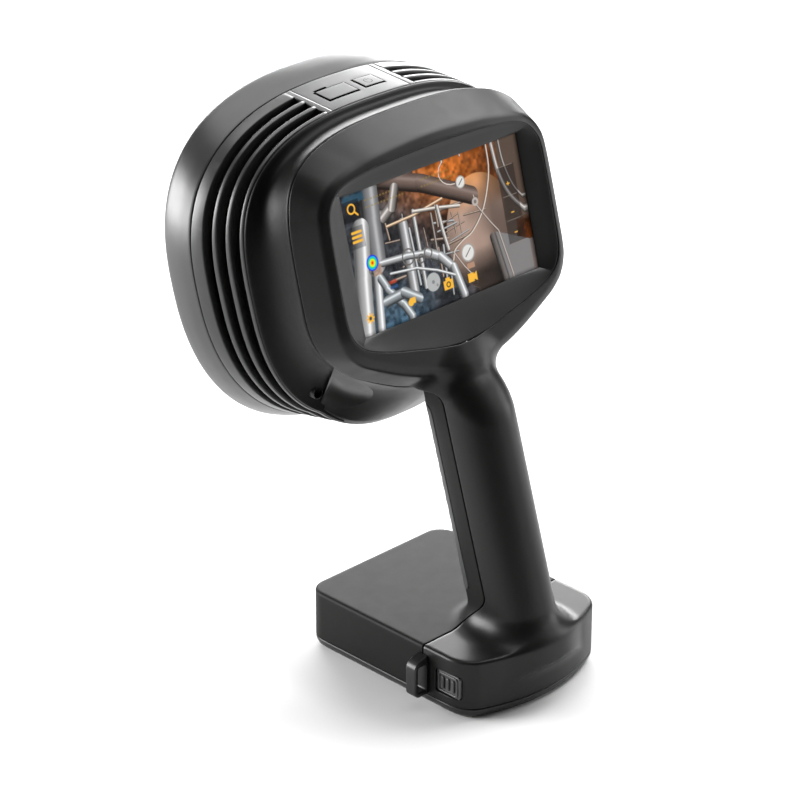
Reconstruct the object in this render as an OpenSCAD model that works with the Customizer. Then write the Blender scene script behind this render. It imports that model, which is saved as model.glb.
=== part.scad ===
// Handheld acoustic imaging camera: a wide microphone drum on a pistol grip that stands on
// its battery base, with the screen on the user's side.
// The array faces -Y, the user stands at +Y, and z = 0 is the base's underside.

/* [Head] */
// Half width of the head at its front seam
head_half_w = 92; // [84:1:98]
// Half height of the head at its front seam
head_half_h = 80.5; // [76:0.5:86]
// Height of the head's centre above the ground
head_z = 191.4; // [188:0.2:195]
// Distance of the head's centre in front of the origin
head_front = 75; // [72:0.5:78]
// Forward lean of the microphone face, degrees
head_lean = 7; // [4:0.5:10]
// Depth of the front ring ahead of its seam
ring_depth = 16; // [12:1:20]
// Length of the slotted section behind the seam
vent_len = 27.4; // [27:0.2:30]
// Number of microphone holes on each spiral arm
holes_per_arm = 8; // [5:1:9]
// Number of spiral arms
arms = 12; // [8:1:14]

/* [Screen] */
// Width of the picture
lcd_w = 110.7; // [105:0.1:112]
// Height of the picture
lcd_h = 62.3; // [60:0.1:64]
// Height of the picture's centre above the ground
screen_z = 213.5; // [211:0.5:216]
// Distance of the picture's centre in front of the origin
screen_front = 12; // [10:0.5:14]
// Backward tilt of the screen, degrees
screen_tilt = 14.5; // [12:0.5:16]

/* [Handle] */
// Half width of the grip
grip_half_w = 17.5; // [16:0.5:19]
// Half depth of the grip
grip_half_d = 20.7; // [19:0.1:22]
// Lean of the grip, degrees
grip_lean = 16.9; // [15:0.1:18]
// Height at which the grip joins the head
grip_top = 140; // [136:1:146]

/* [Base] */
// Half width of the base
base_half_w = 45.6; // [43:0.1:48]
// Reach of the base ahead of the origin
base_front = 55; // [50:1:58]
// Reach of the base behind the origin, on the centre line
base_back = 62; // [60:0.5:64]
// Height of the base's top
base_h = 30.5; // [29:0.5:32]
// Height of the battery's exposed foot
foot_h = 5.5; // [4:0.5:7]

/* [Travel] */
// Travel of the two keys on top
key_travel = 0.8; // [0.5:0.1:1]
// Travel of each battery latch
latch_travel = 2.5; // [1.5:0.5:3]

/* [Hidden] */

wall = 2.5;
seam = 0.3;
ring_steps = 72;
// Exponents of the head's outline at the seam and at the rear lip
n_front = 2.42;
n_rear = 2.75;
// How much wider the head is at the top than at the bottom
egg = 0.11;
head_taper_w = 7.2 / 27.4;
head_taper_h = 5.9 / 27.4;
ring_flare = 4.5 / 16;
// Slots, as distances behind the seam
slots = [[6.6, 11.6], [13.9, 18.9], [21.2, 26.4]];
panel_half_w = 24.6;
rail_half_w = 27.8;
// Bottom bridge of the vent section
bridge_half_w = 20;
neck_w = -10;
// Half width of the chin at the head's lip and at the display housing, and its drop
chin_lip_w = 50;
chin_top_w = 66;
chin_drop = 7;
split_y = 23.5;

// ---- frames -------------------------------------------------------------------------------
module head_frame() {
    translate([0, -head_front, head_z]) rotate([90 + head_lean, 0, 0]) children();
}

module screen_frame() {
    translate([0, -screen_front, screen_z]) rotate([90 - screen_tilt, 0, 180]) children();
}

function head_pt(p) = [
    p[0],
    -head_front + p[1] * cos(90 + head_lean) - p[2] * sin(90 + head_lean),
    head_z + p[1] * sin(90 + head_lean) + p[2] * cos(90 + head_lean)];

function screen_pt(p) = [
    -p[0],
    -screen_front - p[1] * sin(screen_tilt) + p[2] * cos(screen_tilt),
    screen_z + p[1] * cos(screen_tilt) + p[2] * sin(screen_tilt)];

// ---- outlines -----------------------------------------------------------------------------
function lerp(a, b, f) = a + (b - a) * f;

// Point at angle t on a superellipse of half sizes a and b
function super_pt(t, a, b, n) = let (
    r = pow(pow(abs(cos(t)) / a, n) + pow(abs(sin(t)) / b, n), -1 / n)) [r * cos(t), r * sin(t)];

function head_a(z) = head_half_w + min(z, 0) * head_taper_w;
function head_b(z) = head_half_h + (z < 0 ? z * head_taper_h : z * ring_flare);
function head_n(z) = lerp(n_front, n_rear, min(1, max(0, -z / vent_len)));

// Point of the head's outline, z in front of the seam, grown outwards by g
function head_outline(t, z, g) = let (
    p = super_pt(t, head_a(z) + g, head_b(z) + g, head_n(z)),
    x = p[0] * (1 + egg * p[1] / head_b(z))) [x, p[1] - (sin(t) < 0 ? chin_sag(x, z) : 0), z];

// How far the head's underside hangs below the outline towards the chin
function chin_sag(x, z) = chin_drop * min(1, max(0, -z / vent_len))
    * (1 - pow(min(1, abs(x) / chin_lip_w), 2.5));

// Angle at which the head's outline is x from the centre line, near the top or the bottom
function head_angle(x, z, side = 1) = let (
    f = 1 + side * egg, n = head_n(z))
    atan2(head_b(z) * pow(1 - pow(x / f / head_a(z), n), 1 / n), x / f);

// Point of the display housing's outline at depth w, grown outwards by g
function housing_pt(t, w, g) = let (
    f = (w - neck_w) / 14,
    a = lerp(79.7, 72.6, f),
    b = sin(t) > 0 ? lerp(56.5, 43.2, f) : lerp(72, 64.5, f),
    n = sin(t) > 0 ? lerp(3.3, 3.9, f) : lerp(2.5, 3, f),
    p = super_pt(t, a + g, b + g, n)) [p[0], p[1] + 4, w];

function arc(c, r, a0, a1, steps) =
    [for (i = [0 : steps]) c + r * [cos(lerp(a0, a1, i / steps)), sin(lerp(a0, a1, i / steps))]];

// Plan of the base: two front corners, two rear corners and a bowed back
bow_r = 89;
function base_plan(g) = let (
    fr = 10 - g, rr = 8 - g, x = base_half_w - 10, y = base_front - 10,
    xr = base_half_w - 8, yr = base_back - 16.4, b = asin(36 / bow_r)) concat(
    arc([-x, -y], fr, 180, 270, 10), arc([x, -y], fr, 270, 360, 10),
    arc([xr, yr], rr, 0, 66, 8), arc([0, base_back - bow_r], bow_r - g, 90 - b, 90 + b, 16),
    arc([-xr, yr], rr, 114, 180, 8));

// ---- sweeps -------------------------------------------------------------------------------
// Signed volume of a closed triangle set, positive when its faces wind anticlockwise outside
function signed_volume(pts, faces) =
    sum([for (f = faces, i = [1 : len(f) - 2]) pts[f[0]] * cross(pts[f[i]], pts[f[i + 1]])]) / 6;

function sum(v) = v * [for (i = v) 1];

function flip(face) = [for (i = [len(face) - 1 : -1 : 0]) face[i]];

// Joins equal loops of points into one solid; closed joins the last loop to the first
module sweep(loops, closed = false) {
    k = len(loops[0]);
    m = len(loops);
    sides = [for (i = [0 : closed ? m - 1 : m - 2], j = [0 : k - 1]) let (
        a = i * k + j, b = i * k + (j + 1) % k,
        c = ((i + 1) % m) * k + (j + 1) % k, d = ((i + 1) % m) * k + j)
        each [[a, b, c], [a, c, d]]];
    ends = closed ? [] : [[for (j = [k - 1 : -1 : 0]) j], [for (j = [0 : k - 1]) (m - 1) * k + j]];
    pts = [for (l = loops) each l];
    faces = concat(sides, ends);
    turned = signed_volume(pts, faces) > 0 ? [for (f = faces) flip(f)] : faces;
    polyhedron(points = pts, faces = turned, convexity = 10);
}

// Angles around the head: "all", the "top" arc within x, and "round" for the rest
function head_t(u, z, part, x) =
    let (h = part == "all" ? 0 : head_angle(x, z))
    part == "all" ? -360 * u :
    part == "top" ? lerp(180 - h, h, u) :
    lerp(h, -h - 180, u);

// Sweeps a profile of [growth, z] points around the head
module around_head(profile, part = "all", x = 0, steps = ring_steps) {
    loops = [for (i = [0 : part == "all" ? steps - 1 : steps])
        [for (p = profile) head_pt(head_outline(head_t(i / steps, p[1], part, x), p[1], p[0]))]];
    sweep(loops, part == "all");
}

function box_profile(g0, g1, z0, z1) = [[g0, z0], [g0, z1], [g1, z1], [g1, z0]];

// ---- head ---------------------------------------------------------------------------------
face_back = ring_depth - 1.4;
face_front = face_back + 2.6;
face_inset = 5;

module front_ring() {
    r = ring_depth;
    color("dimgray") around_head([
        [0, seam], [0.5, r / 2], [0, r], [-0.9, r + 2.6], [-2.8, r + 4.6], [-5.4, r + 5.8],
        [-8.6, r + 6], [-10.6, r + 5.2], [-10.6, r + 1.6], [-face_inset + 0.5, r + 1.6],
        [-wall, r - 3], [-wall, seam]]);
}

function spiral_hole(arm, i) = let (
    f = (i + 1) / holes_per_arm, t = 360 * arm / arms + 62 * f)
    [(16 + 54 * f) * cos(t) * 1.04, (16 + 46 * f) * sin(t)];

module at_holes() {
    for (arm = [0 : arms - 1], i = [0 : holes_per_arm - 1]) let (h = spiral_hole(arm, i))
        if (min([for (l = lamp_spots) norm(h - l)]) > lamp_r + 4) translate(h) children();
}

lamp_r = 6;
lamp_spots = [for (sx = [-1, 1], sy = [-1, 1]) [sx * 64, sy * 42 + 4]];
module at_lamps() {
    for (l = lamp_spots) translate(l) children();
}

module array_face() {
    color("black") head_frame() difference() {
        translate([0, 0, face_back]) linear_extrude(face_front - face_back)
            polygon([for (i = [0 : 95]) let (
                p = head_outline(-i * 3.75, ring_depth, -face_inset)) [p[0], p[1]]]);
        translate([0, 0, face_back - 1]) {
            at_holes() cylinder(h = 5, r = 0.9, $fn = 24);
            at_lamps() cylinder(h = 5, r = 5.2, $fn = 48);
            cylinder(h = 5, r = 10.2, $fn = 64);
        }
    }
}

module mic_board() {
    color("darkgreen") head_frame() difference() {
        translate([0, 0, face_back - 3.4]) linear_extrude(1.6)
            polygon([for (i = [0 : 95]) let (
                p = head_outline(-i * 3.75, 0, -11)) [p[0], p[1]]]);
        translate([0, 0, face_back - 5]) {
            at_lamps() cylinder(h = 5, r = 6.4, $fn = 48);
            cylinder(h = 5, r = 11.4, $fn = 64);
        }
    }
}

module microphones() {
    color("silver") head_frame() translate([0, 0, face_back - 1.7]) at_holes()
        cylinder(h = 1.5, r = 1.7, $fn = 24);
}

module lens_barrel() {
    color("black") head_frame() rotate_extrude($fn = 96) polygon([
        [6, face_back - 14], [11, face_back - 14], [11, face_back - 4.5], [10, face_back - 4.5],
        [10, face_front + 0.4], [8.4, face_front + 0.4], [6.6, face_front - 1.4], [6, face_front - 1.4]]);
}

module lens_glass() {
    color("slategray") head_frame() translate([0, 0, face_front - 3.4])
        cylinder(h = 1.8, r = 5.95, $fn = 96);
}

module lamp_cups() {
    color("silver") head_frame() at_lamps() rotate_extrude($fn = 48) polygon([
        [0, face_back - 5], [6, face_back - 5], [6, face_back - 0.1], [4, face_back - 0.1],
        [1.6, face_back - 3.4], [0, face_back - 3.4]]);
}

module lamp_lenses() {
    color("white") head_frame() at_lamps() translate([0, 0, face_back + 0.1])
        cylinder(h = 2.1, r = 5.1, $fn = 48);
}

// The slotted section: a band at each end, two ribs, two rails beside the panel and a bridge at
// the bottom
// Levels of the vent section from front to rear: even cells are bands and ribs, odd ones are slots
vent_levels = [-seam, -slots[0][0], -slots[0][1], -slots[1][0], -slots[1][1], -slots[2][0],
    -slots[2][1], -vent_len - 1];
// Steps along a rail, a side, the bottom bridge, the other side and the other rail
vent_steps = [1, 30, 8, 30, 1];
vent_segments = [for (s = [0 : 4], i = [1 : vent_steps[s]]) [s, (i - 1) / vent_steps[s]]];
vent_count = len(vent_segments);

// Angles at depth z at which the rails and the bridge start and end
function vent_angles(z) = let (
    a = head_angle(panel_half_w + seam, z),
    b = head_angle(rail_half_w, z),
    c = head_angle(bridge_half_w, z, -1)) [a, b, -c, c - 180, -180 - b, -180 - a];

// Corner of the vent section at station j and level k, grown outwards by g
function vent_pt(j, k, g) = let (
    z = vent_levels[k],
    q = j < vent_count ? vent_segments[j] : [4, 1],
    a = vent_angles(z)) head_pt(head_outline(lerp(a[q[0]], a[q[0] + 1], q[1]), z, g));

// Whether the cell at station j and level k is solid
function vent_solid(j, k) = j >= 0 && j < vent_count && k >= 0 && k <= 6
    && (k % 2 == 0 || vent_segments[j][0] % 2 == 0);

function vent_id(j, k, side) = 16 * j + 2 * k + side;

function quad(a, b, c, d) = [[a, b, c], [a, c, d]];

// Walls of one cell: outside, inside, and those sides that face an empty cell
function vent_cell(j, k) = let (
    a = vent_id(j, k, 0), b = vent_id(j + 1, k, 0), c = vent_id(j + 1, k + 1, 0),
    d = vent_id(j, k + 1, 0)) concat(
    quad(a, b, c, d), quad(a + 1, d + 1, c + 1, b + 1),
    vent_solid(j, k - 1) ? [] : quad(a, a + 1, b + 1, b),
    vent_solid(j, k + 1) ? [] : quad(d, c, c + 1, d + 1),
    vent_solid(j - 1, k) ? [] : quad(a, d, d + 1, a + 1),
    vent_solid(j + 1, k) ? [] : quad(b, b + 1, c + 1, c));

module vent_frame() {
    pts = [for (j = [0 : vent_count], k = [0 : 7], g = [0, -wall]) vent_pt(j, k, g)];
    faces = [for (j = [0 : vent_count - 1], k = [0 : 6]) if (vent_solid(j, k))
        for (f = vent_cell(j, k)) f];
    color("gray") polyhedron(pts, signed_volume(pts, faces) > 0
        ? [for (f = faces) flip(f)] : faces);
}

module vent_liner() {
    color("black") around_head(box_profile(-9, -10.5, -vent_len, -2), "round", 34);
}

// Top panel with two openings for the keys
module top_panel() {
    color("darkgray") difference() {
        around_head(box_profile(-0.05, -wall - 0.3, -vent_len - 0.8, -seam - 0.1), "top",
            panel_half_w, 16);
        key_prism(menu_x, menu_half, 0.35, 8);
        key_prism(power_x, power_half, 0.35, 8);
    }
}

menu_x = 9.5;
menu_half = [9.8, 5.6];
power_x = -10.5;
power_half = [6.6, 5.2];
key_mid = -15.5;

// Straight prism of a key's plan, grown by g, reaching d below the panel
module key_prism(x, half, g, d) {
    head_frame() translate([x, head_b(key_mid) - d, key_mid]) rotate([-90, 0, 0])
        linear_extrude(d + 4) square([2 * (half[0] + g), 2 * (half[1] + g)], center = true);
}

// A key's cap follows the panel
module key(x, half) {
    intersection() {
        key_prism(x, half, 0, 6);
        around_head(box_profile(-0.05, -wall - 0.1, -vent_len - 0.8, -seam - 0.1), "top",
            panel_half_w, 16);
    }
}

module power_button() {
    color("dimgray") key(power_x, power_half);
}

module menu_button() {
    color("dimgray") key(menu_x, menu_half);
}

module switch_board() {
    color("darkgreen") head_frame() translate([0, head_b(key_mid) - 8, key_mid]) {
        cube([44, 1.6, 14], center = true);
        for (x = [menu_x, power_x]) translate([x, 1.8, 0]) cube([6, 2.1, 6], center = true);
    }
}

// ---- rear cover ---------------------------------------------------------------------------
lip_z = -27.4 - 1 - 0.3;

// The cover's wall at angle t: rear lip, valley and neck, outside then inside
function cover_loop(t) = let (
    a = head_pt(head_outline(t, lip_z, -0.6)),
    b = head_pt(head_outline(t, lip_z - 1.6, -1.8)),
    e = screen_pt([-housing_pt(t, neck_w - 0.4, -0.1)[0], housing_pt(t, neck_w - 0.4, -0.1)[1],
        neck_w - 0.4]),
    d = lerp(b, e, 0.72) + inward(t, 3.2),
    c = lerp(b, e, 0.34) + inward(t, 4.6))
    [a, b, c, d, e, e + inward(t, wall), d + inward(t, wall), c + inward(t, wall),
        b + inward(t, wall + 0.6), a + inward(t, wall + 1)];

function inward(t, g) = [-g * cos(t), 0, -g * sin(t)];

module rear_cover() {
    color("dimgray") difference() {
        sweep([for (i = [0 : ring_steps - 1]) cover_loop(-360 * i / ring_steps)], true);
        chin_block();
        at_cover_screws() cylinder(h = 30, r = 3, center = true, $fn = 32);
    }
}

screw_pos = [60, -36, 143];
module at_cover_screws() {
    for (s = [-1, 1]) translate([s * screw_pos[0], screw_pos[1], screw_pos[2]])
        rotate([-90 + head_lean, 0, 0]) children();
}

module cover_screws() {
    color("silver") at_cover_screws() difference() {
        translate([0, 0, -4.2]) cylinder(h = 2.2, r = 2.7, $fn = 32);
        translate([0, 0, -3.2]) cylinder(h = 3, r = 1.3, $fn = 6);
    }
}

// ---- screen -------------------------------------------------------------------------------
rim_w = 5.5;
foot_half = [lcd_w / 2 + 1.3, lcd_h / 2 + 1.3];

module screen_bezel() {
    color("black") sweep([for (i = [0 : ring_steps - 1]) let (
        t = 360 * i / ring_steps,
        o = housing_pt(t, 4, -4.7), p = super_pt(t, foot_half[0], foot_half[1], 24))
        [screen_pt([o[0], o[1], rim_w - 0.4]), screen_pt([p[0], p[1], 2.4]),
            screen_pt([p[0], p[1], 1.2]), screen_pt([o[0], o[1], rim_w - 2.4])]], true);
}

module display_glass() {
    color("black") screen_frame() translate([-foot_half[0] - 2, -foot_half[1] - 2, 0.1])
        cube([2 * foot_half[0] + 4, 2 * foot_half[1] + 4, 1]);
}

module lcd_panel() {
    color("lightskyblue") screen_frame() translate([-lcd_w / 2 - 3, -lcd_h / 2 - 3, -3.6])
        cube([lcd_w + 6, lcd_h + 6, 3.6]);
}

module main_board() {
    color("darkgreen") screen_frame() translate([-60, -42, -14]) cube([120, 80, 1.6]);
}

// Heat sink on the main board's array side, with vertical fins
module heat_sink() {
    color("silver") screen_frame() {
        translate([-50, -36, -18.2]) cube([100, 68, 4]);
        for (i = [0 : 12]) translate([-50 + i * 8.2, -36, -27]) cube([1.6, 68, 9]);
    }
}

// ---- grip ---------------------------------------------------------------------------------
grip_base_y = 40;
function grip_y(z) = grip_base_y - (z - base_h) * tan(grip_lean);

// Growth of the grip where it spreads into the base, at the sides and the front
function flare(z) = 9 * pow(max(0, base_h + 15 - z) / 15, 2.6);

// Growth of the grip's sides where it spreads into the head
function spread(z) = 12 * pow(min(1, max(0, z - grip_top + 2) / 14), 2.2);

function grip_pt(t, z, g) = let (
    d = grip_half_d + (sin(t) < 0 ? flare(z) : 0),
    p = super_pt(t, grip_half_w + flare(z) + spread(z) + g, d + g, 2.5))
    [p[0], p[1] + grip_y(z), z];

// C-shaped section from angle t0 to t1, from growth g0 in to g1
function grip_c(z, t0, t1, g0, g1, steps = 20) = concat(
    [for (i = [0 : steps]) grip_pt(lerp(t0, t1, i / steps), z, g0)],
    [for (i = [steps : -1 : 0]) grip_pt(lerp(t0, t1, i / steps), z, g1)]);

grip_levels = [base_h - 2.5, base_h + 0.5, base_h + 2, base_h + 4, base_h + 7, base_h + 11,
    base_h + 15];
insert_z = [base_h + 17, grip_top - 6];
insert_t = [-155, -25];
insert_d = 1.6;

// ---- shells -------------------------------------------------------------------------------
module base_half(back) {
    y0 = back ? split_y + seam / 2 : -base_front - 10;
    y1 = back ? base_back + 10 : split_y - seam / 2;
    difference() {
        translate([0, 0, foot_h + seam]) linear_extrude(base_h - foot_h - seam) intersection() {
            polygon(base_plan(0));
            translate([-80, y0]) square([160, y1 - y0]);
        }
        translate([0, 0, foot_h - 1]) linear_extrude(base_h - foot_h + 1 - wall)
            polygon(base_plan(wall));
        for (s = [-1, 1]) latch_window(s);
        if (back) translate([0, 0, base_h - wall - seam]) linear_extrude(wall + 1)
            polygon([for (i = [0 : 24]) let (p = grip_pt(lerp(4.5, -184.5, i / 24),
                grip_levels[0], seam)) [p[0], p[1]]]);
    }
}

module rear_shell() {
    color("gray") {
        // Display housing
        sweep([for (i = [0 : ring_steps - 1]) let (t = 360 * i / ring_steps)
            [screen_pt(housing_pt(t, neck_w, 0)), screen_pt(housing_pt(t, 0, 0)),
                screen_pt(housing_pt(t, 4, 0)), rim_pt(t, rim_w, -4.3),
                rim_pt(t, rim_w - 3, -4.3), screen_pt(housing_pt(t, 0, -wall - 0.6)),
                screen_pt(housing_pt(t, neck_w, -wall))]], true);
        // Back of the grip and its blend into the housing
        sweep([for (z = concat(grip_levels, [grip_top, grip_top + 4])) grip_c(z, 5, 175, 0, -wall)]);
        throat();
        base_half(true);
    }
}

function rim_pt(t, w, g) = let (p = housing_pt(t, 4, g)) screen_pt([p[0], p[1], w]);

// Section of the grip's front, sunk by d between the angles of the insert
function front_c(z, d) = let (a = insert_t[1] + 0.6, b = insert_t[0] - 0.6) concat(
    [for (i = [0 : 4]) grip_pt(lerp(3.5, a, i / 4), z, 0)],
    [for (i = [0 : 12]) grip_pt(lerp(a, b, i / 12), z, -d)],
    [for (i = [0 : 4]) grip_pt(lerp(b, -183.5, i / 4), z, 0)],
    [for (i = [24 : -1 : 0]) grip_pt(lerp(3.5, -183.5, i / 24), z, -wall - insert_d)]);

// Cross-section of the grip from angle t0 to t1, closed by its chord
function grip_d(z, t0, t1, g) = [for (i = [0 : 20]) grip_pt(lerp(t0, t1, i / 20), z, g)];

// Lower edge of the display housing's rim at x, in the screen's frame
function gap_v(x) = 4 - 72 * pow(1 - pow(abs(x) / 79.7, 2.5), 0.4);

// Points of the chin at the head's lip and at the display housing, f from -1 to 1 across it
function chin_lip(f, g) = head_pt(head_outline(-90 + f * (90 - head_angle(chin_lip_w, lip_z, -1)),
    lip_z - 0.8, g));
function chin_top(f, g) = screen_pt([-chin_top_w * f, gap_v(chin_top_w * f) - g, neck_w - 0.6]);

chin_steps = 24;

// The chin: a smooth cover from the head's lip up to the display housing, round the grip
module chin_cover() {
    color("gray") difference() {
        sweep([for (i = [0 : chin_steps]) let (f = 2 * i / chin_steps - 1)
            [chin_lip(f, 0), lerp(chin_lip(f, 0), chin_top(f, 0), 0.5), chin_top(f, 0),
                chin_top(f, -wall - 1), lerp(chin_lip(f, -wall), chin_top(f, -wall - 1), 0.5),
                chin_lip(f, -wall)]]);
        sweep([for (z = [110, 165]) grip_d(z, 0, 342, seam)]);
    }
}

// Wedge that clears the cover for the chin, wider towards the display housing
module chin_block() {
    slope = (chin_top_w - chin_lip_w) / 36;
    translate([0, 60, 0]) rotate([90, 0, 0]) linear_extrude(140)
        polygon([for (p = [[-1, 100], [1, 100], [1, 175], [-1, 175]])
            [p[0] * (chin_lip_w + seam + slope * (p[1] - 130)), p[1]]]);
}

// Web that ties the grip's back to the display housing's bottom wall
module throat() {
    hull() {
        sweep([for (h = [0, 9]) grip_d(grip_top + h, 12, 168, -0.6)]);
        sweep([for (w = [neck_w + 2, 1]) [for (e = [-1.8, -0.5], i = [0 : 8])
            screen_pt(housing_pt(lerp(248, 292, (e < -1 ? i : 8 - i) / 8), w, e))]]);
    }
}

module front_shell() {
    sunk = insert_d + 0.1;
    levels = concat([for (z = grip_levels) [z, 0]], [[insert_z[0] - 0.9, 0],
        [insert_z[0] - 0.2, sunk], [insert_z[1] + 0.2, sunk], [insert_z[1] + 0.9, 0],
        [grip_top, 0], [grip_top + 1.4, 0]]);
    color("gray") {
        sweep([for (l = levels) front_c(l[0], l[1])]);
        base_half(false);
    }
}

module grip_insert() {
    color("black") sweep([for (k = [0 : 8]) grip_c(lerp(insert_z[0], insert_z[1], k / 8),
        insert_t[1], insert_t[0], 0, -insert_d, 16)]);
}

module handle_harness() {
    color("black") sweep([for (z = [base_h + 4, base_h + 40, base_h + 80, grip_top - 4])
        [for (i = [0 : 15]) [5 * cos(22.5 * i), grip_y(z) + 5 * sin(22.5 * i), z]]]);
}

// ---- base details -------------------------------------------------------------------------
latch_y = [31.6, 47.4];
latch_z = [9.8, 22];

module latch_window(s) {
    translate([s * (base_half_w - 3), (latch_y[0] + latch_y[1]) / 2, (latch_z[0] + latch_z[1]) / 2])
        cube([10, latch_y[1] - latch_y[0], latch_z[1] - latch_z[0]], center = true);
}

// Latch button on the side s, with three upright ribs
module latch(s) {
    y = latch_y[1] - latch_y[0] - 0.7;
    z = latch_z[1] - latch_z[0] - 0.7;
    translate([s * base_half_w, (latch_y[0] + latch_y[1]) / 2, (latch_z[0] + latch_z[1]) / 2]) {
        translate([-s * 1.9, 0, 0]) cube([3, y, z], center = true);
        for (i = [-1 : 1]) translate([-s * 0.3, i * 3.4, 0]) cube([1, 1.4, z - 3], center = true);
    }
}

module latch_left() {
    color("gray") latch(1);
}

module latch_right() {
    color("gray") latch(-1);
}

strap_y = [20.6, 27.1];
strap_z = [5.9, 26.4];
strap_out = 8.4;

// Strap loop on the left side: a bevelled block with an upright slot through it
module strap_bracket() {
    color("dimgray") translate([base_half_w + 0.05, strap_y[1], 0]) rotate([90, 0, 0])
        linear_extrude(strap_y[1] - strap_y[0]) difference() {
            polygon([[0, strap_z[0]], [strap_out - 2, strap_z[0]], [strap_out, strap_z[0] + 2],
                [strap_out, strap_z[1] - 4], [strap_out - 2, strap_z[1] - 2], [0, strap_z[1]]]);
            translate([1.4, strap_z[0] + 2.6]) square([4.9, strap_z[1] - strap_z[0] - 7.2]);
        }
}

module contact_block() {
    color("black") translate([-12, -6, base_h - wall - 2.6]) cube([24, 12, 2.5]);
}

module battery_pack() {
    color("dimgray") {
        sweep([for (l = [[4.4, 0], [2.6, 0.7], [1.3, 1.7], [0.4, 3.2], [0, foot_h]])
            [for (p = base_plan(l[0])) [p[0], p[1], l[1]]]]);
        translate([-38, -46, foot_h]) cube([76, 88, 18]);
    }
}

module battery_contacts() {
    color("gold") for (i = [-2 : 2])
        translate([i * 4.4 - 0.8, -4, foot_h + 18]) cube([1.6, 8, 0.6]);
}

// ---- assembly -----------------------------------------------------------------------------
front_ring();
array_face();
mic_board();
microphones();
lens_barrel();
lens_glass();
lamp_cups();
lamp_lenses();
vent_frame();
vent_liner();
top_panel();
power_button();
menu_button();
switch_board();
rear_cover();
cover_screws();
rear_shell();
screen_bezel();
display_glass();
lcd_panel();
main_board();
heat_sink();
chin_cover();
front_shell();
grip_insert();
handle_harness();
strap_bracket();
latch_left();
latch_right();
contact_block();
battery_pack();
battery_contacts();
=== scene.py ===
"""Looks of the handheld acoustic imaging camera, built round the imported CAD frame.

Lengths are in millimetres until a mesh is made. The head frame has x across, y up and z towards
the microphone face; the screen frame has u across, v up and w towards the user.
"""
import math

import bmesh
import bpy
import numpy as np
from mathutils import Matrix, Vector
from mathutils.geometry import delaunay_2d_cdt


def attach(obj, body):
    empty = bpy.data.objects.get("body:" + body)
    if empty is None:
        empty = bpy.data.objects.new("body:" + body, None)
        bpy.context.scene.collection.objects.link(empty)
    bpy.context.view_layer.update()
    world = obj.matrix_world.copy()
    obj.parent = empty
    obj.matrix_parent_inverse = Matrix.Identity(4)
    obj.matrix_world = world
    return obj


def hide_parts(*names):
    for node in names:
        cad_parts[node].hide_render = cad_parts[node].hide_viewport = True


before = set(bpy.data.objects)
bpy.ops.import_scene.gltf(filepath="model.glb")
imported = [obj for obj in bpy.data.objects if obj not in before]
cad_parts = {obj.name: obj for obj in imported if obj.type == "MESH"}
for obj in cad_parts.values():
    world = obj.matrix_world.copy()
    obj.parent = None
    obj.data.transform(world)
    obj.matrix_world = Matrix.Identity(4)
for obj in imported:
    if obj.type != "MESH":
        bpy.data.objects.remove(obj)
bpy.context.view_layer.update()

MM = 0.001
RING_STEPS = 288

# Head: half sizes at the front seam, its centre and its lean
HEAD_A, HEAD_B = 92.0, 80.5
HEAD_Y, HEAD_Z = -75.0, 191.4
HEAD_LEAN = math.radians(7)
RING_DEPTH = 16.0
VENT_LEN = 27.4
# Taper behind the seam, flare ahead of it, and how much wider the upper half is
TAPER_A, TAPER_B, FLARE = 7.2 / VENT_LEN, 5.9 / VENT_LEN, 4.5 / RING_DEPTH
EGG = 0.11
# Exponent of the outline at the seam, and what it gains over the vents
SQUARE, SQUARE_GAIN = 2.42, 0.33
SLOTS = ((6.6, 11.6), (13.9, 18.9), (21.2, 26.4))
PANEL_W, RAIL_W, BRIDGE_W = 24.6, 27.8, 20.0
LIP_Z = -28.7
CHIN_LIP_W, CHIN_TOP_W, CHIN_DROP = 50.0, 66.0, 7.0

# Screen: centre, tilt, picture size and the depths of its seam, rim and foot
SCREEN_Y, SCREEN_Z = -12.0, 213.5
SCREEN_TILT = math.radians(14.5)
LCD_W, LCD_H = 110.7, 62.3
SEAM_W, RIM_OUT_W, RIM_IN_W, FOOT_W = -10.0, 4.0, 5.5, 1.2

# Grip: half sizes and exponent of its section, lean, root, and the fillets at its two ends
GRIP_A, GRIP_B, GRIP_N = 17.5, 20.7, 2.5
GRIP_LEAN = math.radians(16.9)
GRIP_BASE_Y, GRIP_FOOT = 40.0, 24.0
NECK_FILLET, BASE_FILLET = 11.0, 12.0
SHOULDER_R, SHOULDER_SLOPE = 16.0, math.radians(52)
SHOULDER_V, SHOULDER_W = -58.0, 4.0

# Base: its top, half width, front, back, the back's bow and its rounded corners and edge
BASE_TOP, BASE_W, BASE_FRONT, BASE_BACK, BOW_R = 30.5, 45.6, 55.0, 62.0, 89.0
CORNER_R, BACK_R, EDGE_R = 10.0, 8.0, 1.3
FOOT_H = 5.5

# Side seam: its place on the base, where it bends, where it leaves the grip, and its gaps
SPLIT_Y, BEND_Z, BEND_LEN = 23.5, 50.0, 19.0
SEAM_TOP, SEAM_BACK = 143.8, 1.5
SEAM_GAP, FOOT_GAP = 0.6, 0.55

# Small parts: grip pad, latch windows, screws and keys (centre, half sizes and wide gap)
PAD_Z, PAD_ANGLE = (48.0, 135.0), math.radians(25)
LATCH_Y, LATCH_Z = (31.6, 47.4), (9.8, 22.0)
SCREW = (56.6, 144.9)
CIRCLE = np.linspace(0, 2 * math.pi, 49)[:-1]
KEY_Z = -15.5
MENU = {"x": 9.5, "half": (9.8, 5.6), "wide": 1.5}
POWER = {"x": -10.5, "half": (6.6, 5.2), "wide": 1.4}

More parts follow.
